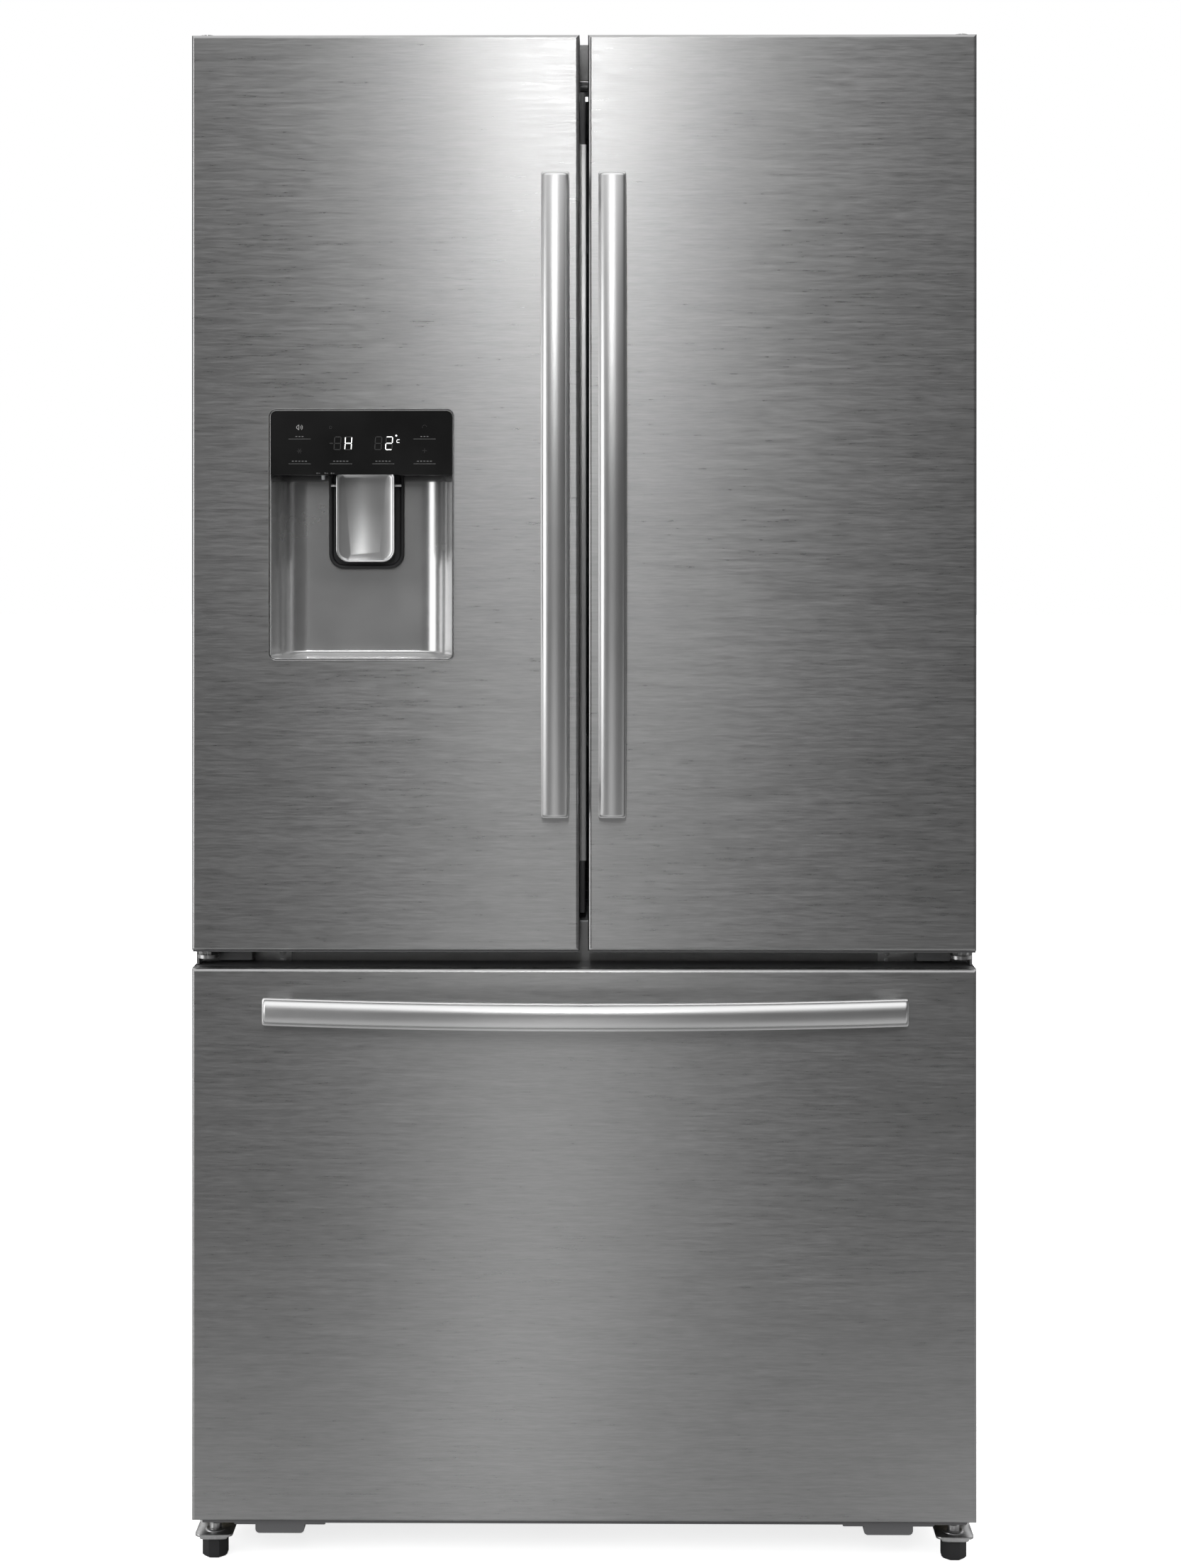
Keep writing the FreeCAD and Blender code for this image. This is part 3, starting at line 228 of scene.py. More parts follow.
brushed_steel("brushed_front", 0.445, 0.305, 0.76)
metal("handle_steel", 0.82, 0.34, 5.0, 0.02, 0.0)
painted_sheet("cabinet_grey", 0.20)
metal("galvanised", 0.52, 0.42, 26.0, 0.035, 0.06)
plastic("dark_cap", (0.10, 0.10, 0.103), 0.42)
metal("dark_steel", 0.46, 0.42, 40.0, 0.03, 0.06, 0.75)
metal("screw_zinc", 0.62, 0.36, 90.0, 0.04, 0.05, 0.4)
metal("flap_steel", 0.78, 0.36, 20.0, 0.03, 0.0, 0.75)
foam("foam")
plastic("liner_white", (0.80, 0.81, 0.82), 0.24, 60.0, 0.05, 0.02, 0.25)
plastic("white_plastic", (0.76, 0.77, 0.78), 0.38, 700.0, 0.08, 0.03)
clear_plastic("clear_plastic", (0.80, 0.87, 0.90), 0.06, 0.38)
plastic("gasket_grey", (0.15, 0.15, 0.155), 0.58, 500.0, 0.2)
shelf_glass("shelf_glass")
black_glass("black_glass")
metal("chrome_trim", 0.42, 0.24, 30.0, 0.03, 0.0)
metal("dispenser_grey", 0.60, 0.25, 12.0, 0.02, 0.0, 0.86)
metal("paddle_grey", 0.66, 0.30, 12.0, 0.02, 0.0, 0.86)
metal("zinc_steel", 0.58, 0.34, 130.0, 0.08, 0.12)
metal("slide_steel", 0.62, 0.28, 70.0, 0.06, 0.08)
plastic("black_plastic", (0.016, 0.016, 0.017), 0.45)
plastic("grey_plastic", (0.22, 0.22, 0.225), 0.46)
plastic("compressor_black", (0.018, 0.018, 0.019), 0.30, 120.0, 0.1)
plastic("coil_black", (0.02, 0.02, 0.021), 0.36, 160.0, 0.1)
metal("coil_aluminium", 0.68, 0.34, 90.0, 0.08, 0.15)
lit_mark("lit_white", 2.2)
lit_mark("soft_grey", 0.20, 0.5)
lit_mark("dim_grey", 0.03, 0.2)
lit_mark("ghost_grey", 0.004, 0.03)
lit_mark("lamp_lens", 1.6, 0.9)

for part in frame["record"]["subparts"]:
    mesh = frame["nodes"][part["node"]].data
    mesh.materials.clear()
    mesh.materials.append(MATERIALS[part["material_slot"]])


# ---------------------------------------- mesh helpers
def put_object(name, bm, material, body, smooth_deg=40):
    """Turns a bmesh into a piece with the given material, that rides on a body."""
    bmesh.ops.recalc_face_normals(bm, faces=bm.faces)
    mesh = bpy.data.meshes.new(name)
    bm.to_mesh(mesh)
    bm.free()
    mesh.materials.append(MATERIALS[material])
    mesh.shade_smooth()
    mesh.set_sharp_from_angle(angle=math.radians(smooth_deg))
    obj = bpy.data.objects.new(name, mesh)
    bpy.context.scene.collection.objects.link(obj)
    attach(obj, body)
    return obj


def bevel(obj, width, segments):
    """Bevels the sharp edges of a piece."""
    modifier = obj.modifiers.new("bevel", "BEVEL")
    modifier.width = width
    modifier.segments = segments
    modifier.limit_method = "ANGLE"
    modifier.angle_limit = math.radians(35)
    modifier.harden_normals = True


def block(bm, low, high):
    """Adds a box between two corners."""
    centre = (Vector(low) + Vector(high)) / 2
    size = Vector(high) - Vector(low)
    matrix = Matrix.Translation(centre) @ Matrix.Diagonal((*size, 1))
    bmesh.ops.create_cube(bm, size=1, matrix=matrix)


def arc_points(a, b, radius, start, stop, count):
    """Points of an arc about (a, b), both ends included; angles in degrees."""
    points = []
    for i in range(count + 1):
        angle = math.radians(start + (stop - start) * i / count)
        points.append((a + radius * math.cos(angle), b + radius * math.sin(angle)))
    return points


def round_rect(half_a, half_b, low_radius, steps=8, top_radius=None):
    """Points of a rounded rectangle about the origin, anticlockwise."""
    points = []
    for sign_a, sign_b, start in ((1, 1, 0), (-1, 1, 90), (-1, -1, 180), (1, -1, 270)):
        radius = low_radius if top_radius is None or sign_b < 0 else top_radius
        points += arc_points(sign_a * (half_a - radius), sign_b * (half_b - radius), radius,
                             start, start + 90, steps)
    return points


def upright_ring(x, y, z, half_x, half_z, radius, steps=8):
    """Rounded rectangle in the XZ plane about a point."""
    return [Vector((x + a, y, z + b)) for a, b in round_rect(half_x, half_z, radius, steps)]


def loft(bm, rings, closed=True, capped=True):
    """Joins rings of equal length into a skin; each ring is a list of points."""
    made = [[bm.verts.new(p) for p in ring] for ring in rings]
    count = len(made[0])
    for low, high in zip(made, made[1:]):
        for i in range(count if closed else count - 1):
            j = (i + 1) % count
            bm.faces.new((low[i], low[j], high[j], high[i]))
    if capped:
        bm.faces.new(list(reversed(made[0])))
        bm.faces.new(made[-1])


def nested_rings(bm, low, high, axis, steps, radius, capped=True):
    """Rounded-rectangle rings inside the box low..high.

    axis is the direction that the rings climb along; steps are (inset, height above low).
    """
    low, high = Vector(low), Vector(high)
    a, b = [i for i in range(3) if i != axis]
    centre = (low + high) / 2
    half_a, half_b = (high[a] - low[a]) / 2, (high[b] - low[b]) / 2
    rings = []
    for inset, height in steps:
        r = max(radius - inset, 0.0008)
        ring = []
        for pa, pb in round_rect(half_a - inset, half_b - inset, r):
            point = Vector((0, 0, 0))
            point[a] = centre[a] + pa
            point[b] = centre[b] + pb
            point[axis] = low[axis] + height
            ring.append(point)
        rings.append(ring)
    loft(bm, rings, capped=capped)


def tray_steps(height, wall, draft, lip, foot_r=0.006):
    """Profile of a moulded tray: rounded foot, drafted wall, rolled lip, inner wall, floor."""
    outer = arc_points(draft + lip + foot_r, foot_r, foot_r, 270, 180, 4)
    outer += [(lip + draft * 0.5, height * 0.5), (lip, height - 0.007)]
    rolled = [(0.0, height - 0.006), (0.0, height - 0.001), (0.001, height)]
    inner = [(lip + wall, height), (lip + wall + draft * 0.5, height * 0.5)]
    foot = arc_points(lip + draft + wall + foot_r, wall + foot_r, foot_r, 180, 270, 4)
    return outer + rolled + inner + foot


def tray_piece(name, low, high, body, material, radius, wall, draft, lip):
    """Open tray with rounded corners, drafted walls and a rolled lip."""
    bm = bmesh.new()
    height = high[2] - low[2]
    nested_rings(bm, low, high, 2, tray_steps(height, wall, draft, lip), radius)
    return put_object(name, bm, material, body, 50)


def opening(name, grow_low, grow_high):
    """Box of a stated opening, grown to the outside of the tray that surrounds it."""
    found = [o for o in frame["record"]["physics"]["openings"] if o["name"] == name][0]
    low, high = [Vector(corner) for corner in found["box_m"]]
    return low - Vector(grow_low) * MM, high + Vector(grow_high) * MM


def closed_ring(bm, low, high, axis, profile, radius):
    """Frame whose section is a closed profile of (inset, height)."""
    nested_rings(bm, low, high, axis, profile + profile[:1], radius, capped=False)
    bmesh.ops.remove_doubles(bm, verts=bm.verts, dist=1e-6)


def slab(bm, low, high, axis, radius, edge=0.0008):
    """Plate with rounded corners and eased edges; axis is its thickness."""
    height = (Vector(high) - Vector(low))[axis]
    steps = [(edge, 0), (edge * 0.3, edge * 0.3), (0, edge),
             (0, height - edge), (edge * 0.3, height - edge * 0.3), (edge, height)]
    nested_rings(bm, low, high, axis, steps, radius)


def disc(bm, centre, axis, profile, count=32):
    """Turned shape about an axis: profile is a list of (radius, distance along)."""
    a, b = [i for i in range(3) if i != axis]
    rings = []
    for radius, along in profile:
        ring = []
        for i in range(count):
            angle = math.tau * i / count
            point = Vector(centre)
            point[a] += radius * math.cos(angle)
            point[b] += radius * math.sin(angle)
            point[axis] += along
            ring.append(point)
        rings.append(ring)
    loft(bm, rings)


# ---------------------------------------- handles
BAR_SEGMENTS = 56


def crowned(half_w, depth, power, count=10):
    """Front of a bar's section from one side to the other: a superellipse (across, out)."""
    points = []
    for i in range(count * 2 + 1):
        angle = math.pi * i / (count * 2)
        across, out = math.cos(angle), math.sin(angle)
        points.append((math.copysign(abs(across) ** (2 / power), across) * half_w,
                       out ** (2 / power) * depth))
    return points


def eased_ends(total, radius, steps=5):
    """(distance along, shrink) pairs that round off both ends of a bar."""
    low = []
    for i in range(steps + 1):
        angle = math.pi / 2 * i / steps
        low.append((radius * (1 - math.cos(angle)), radius * (1 - math.sin(angle))))
    middle = [(radius + (total - 2 * radius) * i / BAR_SEGMENTS, 0.0)
              for i in range(1, BAR_SEGMENTS)]
    middle = [(radius + 0.0008, 0.0)] + middle + [(total - radius - 0.0008, 0.0)]
    return low + middle + [(total - along, shrink) for along, shrink in reversed(low)]


def swept_bar(bm, place, half, bow, base, section, back, end_r):
    """Sweeps a section along the bow. place(across, out, along) gives the point in the frame."""
    radius = (half * half + bow * bow) / (2 * bow)
    rings = []
    for along, shrink in eased_ends(2 * half, end_r):
        t = along - half
        rise = math.sqrt(radius * radius - t * t) - (radius - bow)
        ring = []
        for across, out in section + back:
            narrow = 1 - shrink / max(abs(p[0]) for p in section)
            ring.append(place(across * narrow, base + rise + out * (1 - 0.3 * shrink / end_r), t))
        rings.append(ring)
    loft(bm, rings)


def handle(node, body, upright):
    """Bowed bar on a slightly larger carrier, with two posts and their feet."""
    low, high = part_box(node)
    centre = (low + high) / 2
    size = high - low
    half = (size.z if upright else size.x) / 2
    width = size.x if upright else size.z
    reach = high.y - low.y
    end_stand, carrier_t, bar_t = 0.026, 0.0045, 0.0085
    bow = reach - end_stand
    face = high.y

    def place(across, out, along):
        if upright:
            return Vector((centre.x + across, face - out, centre.z + along))
        return Vector((centre.x + along, face - out, centre.z - across))

    lift = 0.0 if upright else -0.0012
    half_bar = width / 2 - 0.0011 - abs(lift)
    base = end_stand - bar_t
    bar_back = [(-half_bar * 0.92, -0.0006), (half_bar * 0.92, -0.0006)]
    bm = bmesh.new()
    section = [(across + lift, out) for across, out in crowned(half_bar, bar_t, 2.25)]
    swept_bar(bm, place, half - 0.002, bow, base, section, bar_back, 0.003)
    put_object(node + "_bar", bm, "handle_steel", body, 50)

    half_carrier = width / 2
    carrier_front = crowned(half_carrier, carrier_t, 6.0, 6)
    carrier_back = [(-half_carrier * 0.96, -0.0012), (half_carrier * 0.96, -0.0012)]
    bm = bmesh.new()
    swept_bar(bm, place, half, bow, base - carrier_t - 0.0011, carrier_front, carrier_back, 0.0025)
    groove_half = half_bar - 0.0018
    groove = [(groove_half, 0.0), (groove_half, 0.0022), (-groove_half, 0.0022), (-groove_half, 0.0)]
    swept_bar(bm, place, half - 0.006, bow, base - 0.0016, groove, [], 0.002)
    carrier = put_object(node + "_carrier", bm, "handle_steel", body, 50)
    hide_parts(node)

    bm = bmesh.new()
    post_a, post_b, post_r = width / 2 - 0.005, 0.012, 0.005
    for side in (-1, 1):
        along = side * (half - 0.022)
        rings = []
        for out, grow in ((0.0002, 0.0022), (0.0010, 0.0021), (0.0022, 0.0010), (0.0042, 0.0002),
                          (0.0070, 0.0), (base - carrier_t, 0.0)):
            rings.append([place(a, out, along + b) for a, b in
                          round_rect(post_a + grow, post_b + grow, post_r + grow)])
        loft(bm, rings)
    put_object(node + "_posts", bm, "handle_steel", body, 50)


# ---------------------------------------- water dispenser
def dispenser():
    """Smooth scooped recess: back wall, wide rolled corners, rolled floor and a roof."""
    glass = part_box("display_panel")
    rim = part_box("dispenser_bezel")
    edge = 0.0026
    x0, x1 = rim[0].x + edge, rim[1].x - edge
    z0, z1 = rim[0].z + edge, glass[0].z - 0.0002
    front = glass[0].y + 0.0012
    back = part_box("dispenser_housing")[1].y - 0.004
    mid_x, half = (x0 + x1) / 2, (x1 - x0) / 2
    corner_r, depth, slope = 0.030, back - front, 0.012

    def across(depth_share):
        """Section of the scoop from the left lip round to the right lip, at one height."""
        d = depth * depth_share
        r = min(corner_r, d * 0.8)
        flat = half - slope - r * 0.94
        left = [(-half, 0.0), (-half + 0.0006, d * 0.10), (-half + slope * 0.55, (d - r) * 0.7)]
        left += arc_points(-flat, d - r, r, 172, 90, 14)
        middle = [(-flat + 2 * flat * i / 8, d) for i in range(1, 8)]
        return left + middle + [(-px, py) for px, py in reversed(left)]

    bm = bmesh.new()
    rings = []
    floor_r, lip = 0.010, 0.0035
    heights = [(z0, 0.02), (z0 + 0.0006, 0.10)]
    for i in range(1, 9):
        angle = math.pi / 2 * i / 8
        heights.append((z0 + lip * 0.3 + floor_r * (1 - math.cos(angle)) * 0.7,
                        1 - (floor_r / depth) * (1 - math.sin(angle)) * 4 * (1 - i / 8)))
    for i in range(1, 25):
        heights.append((z0 + floor_r + (z1 - z0 - floor_r) * i / 24, 1.0))
    for z, share in heights:
        climb = (z - z0) / (z1 - z0)
        lean = 1 - 0.06 * max(0.0, 1 - climb / 0.42)
        rings.append([Vector((mid_x + px, front + py, z))
                      for px, py in across(max(share, 0.02) * lean)])
    loft(bm, rings, closed=False, capped=False)
    scoop = put_object("dispenser_scoop", bm, "dispenser_grey", "left_door", 60)
    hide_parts("dispenser_housing")
    shell = scoop.modifiers.new("shell", "SOLIDIFY")
    shell.thickness = 0.0018
    shell.offset = 1.0

    bm = bmesh.new()
    pad_low, pad_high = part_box("dispenser_paddle")
    for px0, px1 in ((x0, pad_low.x), (pad_high.x, x1)):
        block(bm, (px0, front + 0.004, z1 - 0.0004), (px1, back + 0.001, z1 + 0.006))
    block(bm, (x0, front + 0.010, z1 + 0.006), (x1, back + 0.004, glass[1].z))
    roof = put_object("dispenser_roof", bm, "black_plastic", "left_door")
    bevel(roof, 0.0008, 2)


def dispenser_surround():
    """Black rubber frame round the paddle, the outlet above it and a small nozzle beside it."""
    pad_low, pad_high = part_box("dispenser_paddle")
    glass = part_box("display_panel")
    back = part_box("dispenser_housing")[1].y - 0.004
    left, right = pad_low.x + 0.0045, pad_high.x - 0.0045
    mid, half = (left + right) / 2, (right - left) / 2 + 0.0075
    top, bottom = glass[0].z + 0.012, pad_low.z - 0.0085
    height, radius, width = (top - bottom) / 2, 0.018, 0.0052

    def ring(inset, out):
        return upright_ring(mid, back - out, bottom + height, half - inset, height - inset,
                            radius - inset)

    bm = bmesh.new()
    loft(bm, [ring(inset, out) for inset, out in
              ((0.0, -0.0015), (0.0, 0.004), (0.0008, 0.0052), (0.0022, 0.0058), (0.0042, 0.0052),
               (0.0050, 0.0038), (width, -0.0015))], capped=False)
    bm.faces.new([bm.verts.new(p) for p in ring(width, 0.0022)])
    put_object("paddle_surround", bm, "black_plastic", "left_door", 50)

    bm = bmesh.new()
    edge = glass[0].z
    for x, y, r, z0, z1 in ((mid, pad_low.y - 0.0195, 0.0075, edge + 0.0015, edge + 0.007),
                            (mid - 0.049, pad_low.y - 0.012, 0.0022, edge - 0.0057, edge + 0.002)):
        disc(bm, (x, y, 0), 2, [(r, z1), (r * 0.92, z0 + 0.001), (r * 0.80, z0), (r * 0.55, z0),
                                (r * 0.5, z0 + 0.001)], 24)
    put_object("water_spout", bm, "white_plastic", "left_door", 50)


def paddle():
    """Dished paddle with a rolled rim, on its pin, and a faint cup outline on its face."""
    low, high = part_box("dispenser_paddle")
    pin_run = 0.007
    x0, x1 = low.x + pin_run, high.x - pin_run
    z0, z1 = low.z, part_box("display_panel")[0].z + 0.003
    mid_x, mid_z = (x0 + x1) / 2, (z0 + z1) / 2
    half_x, half_z = (x1 - x0) / 2, (z1 - z0) / 2
    front, thick, dish, corner_r = low.y - 0.0105, 0.0036, 0.0065, 0.015

    def face_y(px):
        """Dish: deepest on the middle line, with its rim standing forward."""
        return front + dish * (1 - (px / half_x) ** 2)

    bm = bmesh.new()
    profile = [(0.0025, thick), (0.0006, thick - 0.0006), (0.0, thick - 0.002), (0.0002, 0.0008),
               (0.0010, 0.0), (0.0020, 0.0002), (0.0028, 0.0012), (0.0042, 0.0014)]
    rings = []
    for inset, depth in profile:
        ring = []
        for a, b in round_rect(half_x - inset, half_z - inset, corner_r - inset, 10, 0.005):
            ring.append(Vector((mid_x + a, face_y(a) + depth, mid_z + b)))
        rings.append(ring)
    outline, sunk = rings[-1], profile[-1][1]
    for step in range(1, 13):
        share = 1 - step / 13
        ring = []
        for point in outline:
            px, pz = (point.x - mid_x) * share, (point.z - mid_z) * share
            ring.append(Vector((mid_x + px, face_y(px) + sunk, mid_z + pz)))
        rings.append(ring)
    loft(bm, rings)
    pin_y, pin_z, pin_r = (low.y + high.y) / 2, high.z - 0.002, 0.002
    for lug_x in (x0 + 0.003, x1 - 0.015):
        slab(bm, (lug_x, front + 0.0068, pin_z - 0.004), (lug_x + 0.012, pin_y + 0.003, pin_z + 0.003),
             0, 0.0012, 0.0005)
    for px in (low.x, high.x - 0.02):
        disc(bm, (px, pin_y, pin_z), 0, [(pin_r, 0), (pin_r, 0.02)], 16)
    pad = put_object("paddle_pad", bm, "paddle_grey", "dispenser_paddle")
    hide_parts("dispenser_paddle")

    cup_w, cup_h, line = 0.0052, 0.0095, 0.0004
    centre = Vector((mid_x + 0.001, face_y(0) + 0.00146, mid_z - 0.008))
    strokes = path_strokes([(-cup_w, cup_h / 2), (-cup_w * 0.75, -cup_h / 2), (0, -cup_h / 2),
                            (cup_w * 0.75, -cup_h / 2), (cup_w, cup_h / 2)])
    strokes += path_strokes([(-cup_w * 0.7, 0.0012), (cup_w * 0.7, 0.0012)])
    strokes += path_strokes([(-0.0016, cup_h * 0.85), (0, cup_h * 1.25), (0.0016, cup_h * 0.85)])
    mark = drawn_lines("cup_mark", strokes, centre, line, "ghost_grey", "dispenser_paddle")
    for vert in mark.data.vertices:
        vert.co.y += face_y(vert.co.x - mid_x) - face_y(0)


# ---------------------------------------- drawn marks
def path_strokes(points):
    """Strokes that join points in turn."""
    return list(zip(points, points[1:]))


def drawn_lines(name, strokes, centre, width, material, body="left_door"):
    """Thin raised bars along 2-D strokes in the XZ plane, facing the front."""
    bm = bmesh.new()
    for (ax, az), (bx, bz) in strokes:
        start, end = Vector((ax, 0, az)), Vector((bx, 0, bz))
        run = (end - start).normalized()
        side = Vector((-run.z, 0, run.x)) * width / 2
        tip = run * width * 0.35
        outline = [start - tip + side * 0.4, start + side, end + side, end + tip + side * 0.4,
                   end + tip - side * 0.4, end - side, start - side, start - tip - side * 0.4]
        front = [bm.verts.new(centre + p + Vector((0, -0.00012, 0))) for p in outline]
        rear = [bm.verts.new(centre + p) for p in outline]
        bm.faces.new(front)
        bm.faces.new(list(reversed(rear)))
        for i in range(len(outline)):
            j = (i + 1) % len(outline)
            bm.faces.new((front[i], front[j], rear[j], rear[i]))
    return put_object(name, bm, material, body, 30)


SEGMENTS = {
    "a": ((-1, 2), (1, 2)), "b": ((1, 2), (1, 0)), "c": ((1, 0), (1, -2)), "d": ((-1, -2), (1, -2)),
    "e": ((-1, 0), (-1, -2)), "f": ((-1, 2), (-1, 0)), "g": ((-1, 0), (1, 0)),
}


def digit_strokes(lit, place, half_w, slant=0.06):
    """Strokes of a seven-segment digit: half_w is half its width and a quarter of its height."""
    strokes = []
    for name in lit:
        ends = [Vector(end) * half_w for end in SEGMENTS[name]]
        gap = (ends[1] - ends[0]).normalized() * half_w * 0.22
        ends = [ends[0] + gap, ends[1] - gap]
        strokes.append(tuple((place[0] + e.x + e.y * slant, place[1] + e.y) for e in ends))
    return strokes


def arc_strokes(centre, radius, start, stop, count):
    return path_strokes(arc_points(*centre, radius, start, stop, count))


def star_strokes(centre, radius, arms):
    strokes = []
    for i in range(arms):
        across = radius * math.cos(math.pi * i / arms)
        up = radius * math.sin(math.pi * i / arms)
        strokes.append(((centre[0] - across, centre[1] - up), (centre[0] + across, centre[1] + up)))
    return strokes


def display_marks():
    """Lit digits, unlit digits, pictograms and key lines on the display's glass."""
    low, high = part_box("display_panel")
    origin = Vector((low.x, low.y - 0.00005, high.z))
    row_digits, row_top, row_low = -0.0375, -0.0190, -0.0465
    columns = (0.0335, 0.0815, 0.1305, 0.1785)
    ones_place = (0.0901, 0.1374)
    half = 0.0037

    lit = digit_strokes("bcefg", (ones_place[0], row_digits), half)
    lit += digit_strokes("abdeg", (ones_place[1], row_digits), half)
    drawn_lines("digits_lit", lit, origin, 0.00082, "lit_white")

    small = digit_strokes("deg", (ones_place[1] + 0.0108, row_digits + 0.0042), 0.0017)
    small += arc_strokes((ones_place[1] + 0.0083, row_digits + 0.0088), 0.0007, 0, 360, 8)
    drawn_lines("degree_mark", small, origin, 0.0004, "lit_white")

    ghost = []
    for x in ones_place:
        ghost += digit_strokes("abcdefg", (x - 0.0125, row_digits), half)
    ghost += digit_strokes("ad", (ones_place[0], row_digits), half)
    ghost += digit_strokes("cf", (ones_place[1], row_digits), half)
    ghost.append(((ones_place[0] - 0.0215, row_digits), (ones_place[0] - 0.0180, row_digits)))
    drawn_lines("digits_unlit", ghost, origin, 0.0011, "ghost_grey")

    outer_columns = (columns[0], columns[3])
    line_half = 0.0128
    lines, legends = [], []
    for places, line_z, legend_z, words, first, pitch, run in (
            (outer_columns, -0.0325, -0.0296, 3, 0.0046, 0.0036, 0.0018),
            (columns, -0.0613, -0.0582, 5, 0.0088, 0.0038, 0.0020)):
        for x in places:
            lines.append(((x - line_half, line_z), (x + line_half, line_z)))
            for k in range(words):
                left = x - first + k * pitch
                legends.append(((left, legend_z), (left + run, legend_z)))
    drawn_lines("key_lines", lines, origin, 0.00032, "dim_grey")

    speaker = (columns[0], row_top)
    cone = [(-0.0034, 0.001), (-0.0008, 0.0028), (-0.0008, -0.0028), (-0.0034, -0.001),
            (-0.0034, 0.001)]
    sound = path_strokes([(speaker[0] + across, speaker[1] + up) for across, up in cone])
    sound += arc_strokes(speaker, 0.0018, -50, 50, 4)
    sound += arc_strokes(speaker, 0.0034, -50, 50, 5)
    drawn_lines("speaker_mark", sound, origin, 0.0004, "soft_grey")

    faint = star_strokes((columns[0], row_low), 0.0030, 3)
    faint += arc_strokes((columns[3], row_top), 0.0026, 20, 200, 6)
    faint += star_strokes((columns[3], row_low + 0.0005), 0.0026, 2)
    faint += arc_strokes((columns[1] - 0.012, row_top), 0.0016, 0, 360, 8)
    drawn_lines("faint_marks", faint, origin, 0.0005, "ghost_grey")

    drawn_lines("key_legends", legends, origin, 0.0007, "dim_grey")

    hints, hint_row = [], -0.0722
    for x in (0.0538, 0.0632, 0.0705):
        hints += star_strokes((x, hint_row), 0.0008, 2)
        hints.append(((x + 0.0016, hint_row), (x + 0.0034, hint_row)))
    drawn_lines("lower_hints", hints, origin, 0.0004, "dim_grey")


def dispenser_rim():
    """Bright rim with a fine groove round the display and the recess."""
    low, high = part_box("dispenser_bezel")
    face = high.y - 0.003
    mid_x, mid_z = (low.x + high.x) / 2, (low.z + high.z) / 2
    half_x, half_z = (high.x - low.x) / 2, (high.z - low.z) / 2
    radius = 0.009
    profile = [(0.0, 0.0002), (0.0, 0.0010), (0.0004, 0.0014), (0.0009, 0.0012), (0.0012, 0.0004),
               (0.0015, 0.0004), (0.0018, 0.0010), (0.0022, 0.0012), (0.0026, 0.0008),
               (0.0027, -0.0020), (0.0014, -0.0026)]
    bm = bmesh.new()
    loft(bm, [upright_ring(mid_x, face - out, mid_z, half_x - inset, half_z - inset,
                           radius - inset, 10) for inset, out in profile + profile[:1]],
         capped=False)
    bmesh.ops.remove_doubles(bm, verts=bm.verts, dist=1e-6)
    rim = put_object("dispenser_rim", bm, "chrome_trim", "left_door")
    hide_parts("dispenser_bezel")


for side in ("left", "right"):
    handle(side + "_handle", side + "_door", True)
handle("drawer_handle", "drawer", False)
dispenser()
dispenser_surround()
paddle()
display_marks()
dispenser_rim()


# ---------------------------------------- doors inside
GASKET_PROFILE = [(0, 0), (0, 2), (3, 4), (3, 6), (0.5, 8), (0, 11), (1, 11.7), (14, 11.7),
                  (16, 10.5), (16, 8), (13.5, 6), (13.5, 4), (16, 2), (16, 0)]


def gasket(node, body):
    """Magnetic gasket with a folded section, all round a door."""
    low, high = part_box(node)
    profile = [(inset * MM, climb * MM) for inset, climb in GASKET_PROFILE]
    bm = bmesh.new()
    closed_ring(bm, low, high, 1, profile, 0.012)
    piece = put_object(node + "_bellows", bm, "gasket_grey", body, 35)
    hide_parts(node)


def flap():
    """Pivoting strip that closes the gap between the doors, with its bright face and pins."""
    low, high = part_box("mullion_flap")
    pin = 0.0065
    bm = bmesh.new()
    slab(bm, (low.x, low.y + 0.001, low.z + pin), (high.x, high.y, high.z - pin), 2, 0.004, 0.0015)
    for z, way in ((low.z + pin, -1), (high.z - pin, 1)):
        disc(bm, (low.x + 0.005, high.y - 0.0095, z - way * 0.001), 2,
             [(0.0025, 0), (0.0025, way * 0.0068), (0.0018, way * 0.0075)], 20)
    body = put_object("flap_body", bm, "grey_plastic", "mullion_flap")
    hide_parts("mullion_flap")
    bm = bmesh.new()
    slab(bm, (high.x - 0.0090, low.y, low.z + 0.0685),
         (high.x + 0.0012, low.y + 0.0014, high.z - 0.0685), 1, 0.0012, 0.0004)
    put_object("flap_face", bm, "flap_steel", "mullion_flap")


def door_bin(name, body):
    """Clear bin with a rolled lip and a white band round it."""
    low, high = opening(name, (14, 15, 9), (14, 14, 7))
    tray_piece(name + "_tray", low, high, body, "clear_plastic", 0.014, 0.003, 0.002, 0.0015)
    top = (high - low).z
    h0, h1 = top - 0.030, top - 0.010
    band = [(0.0030, h0), (0.0006, h0 + 0.0006), (0.0002, h0 + 0.0016),
            (0.0002, h1 - 0.0016), (0.0006, h1 - 0.0006), (0.0030, h1)]
    bm = bmesh.new()
    closed_ring(bm, low, high, 2, band, 0.014)
    return put_object(name + "_band", bm, "white_plastic", body)


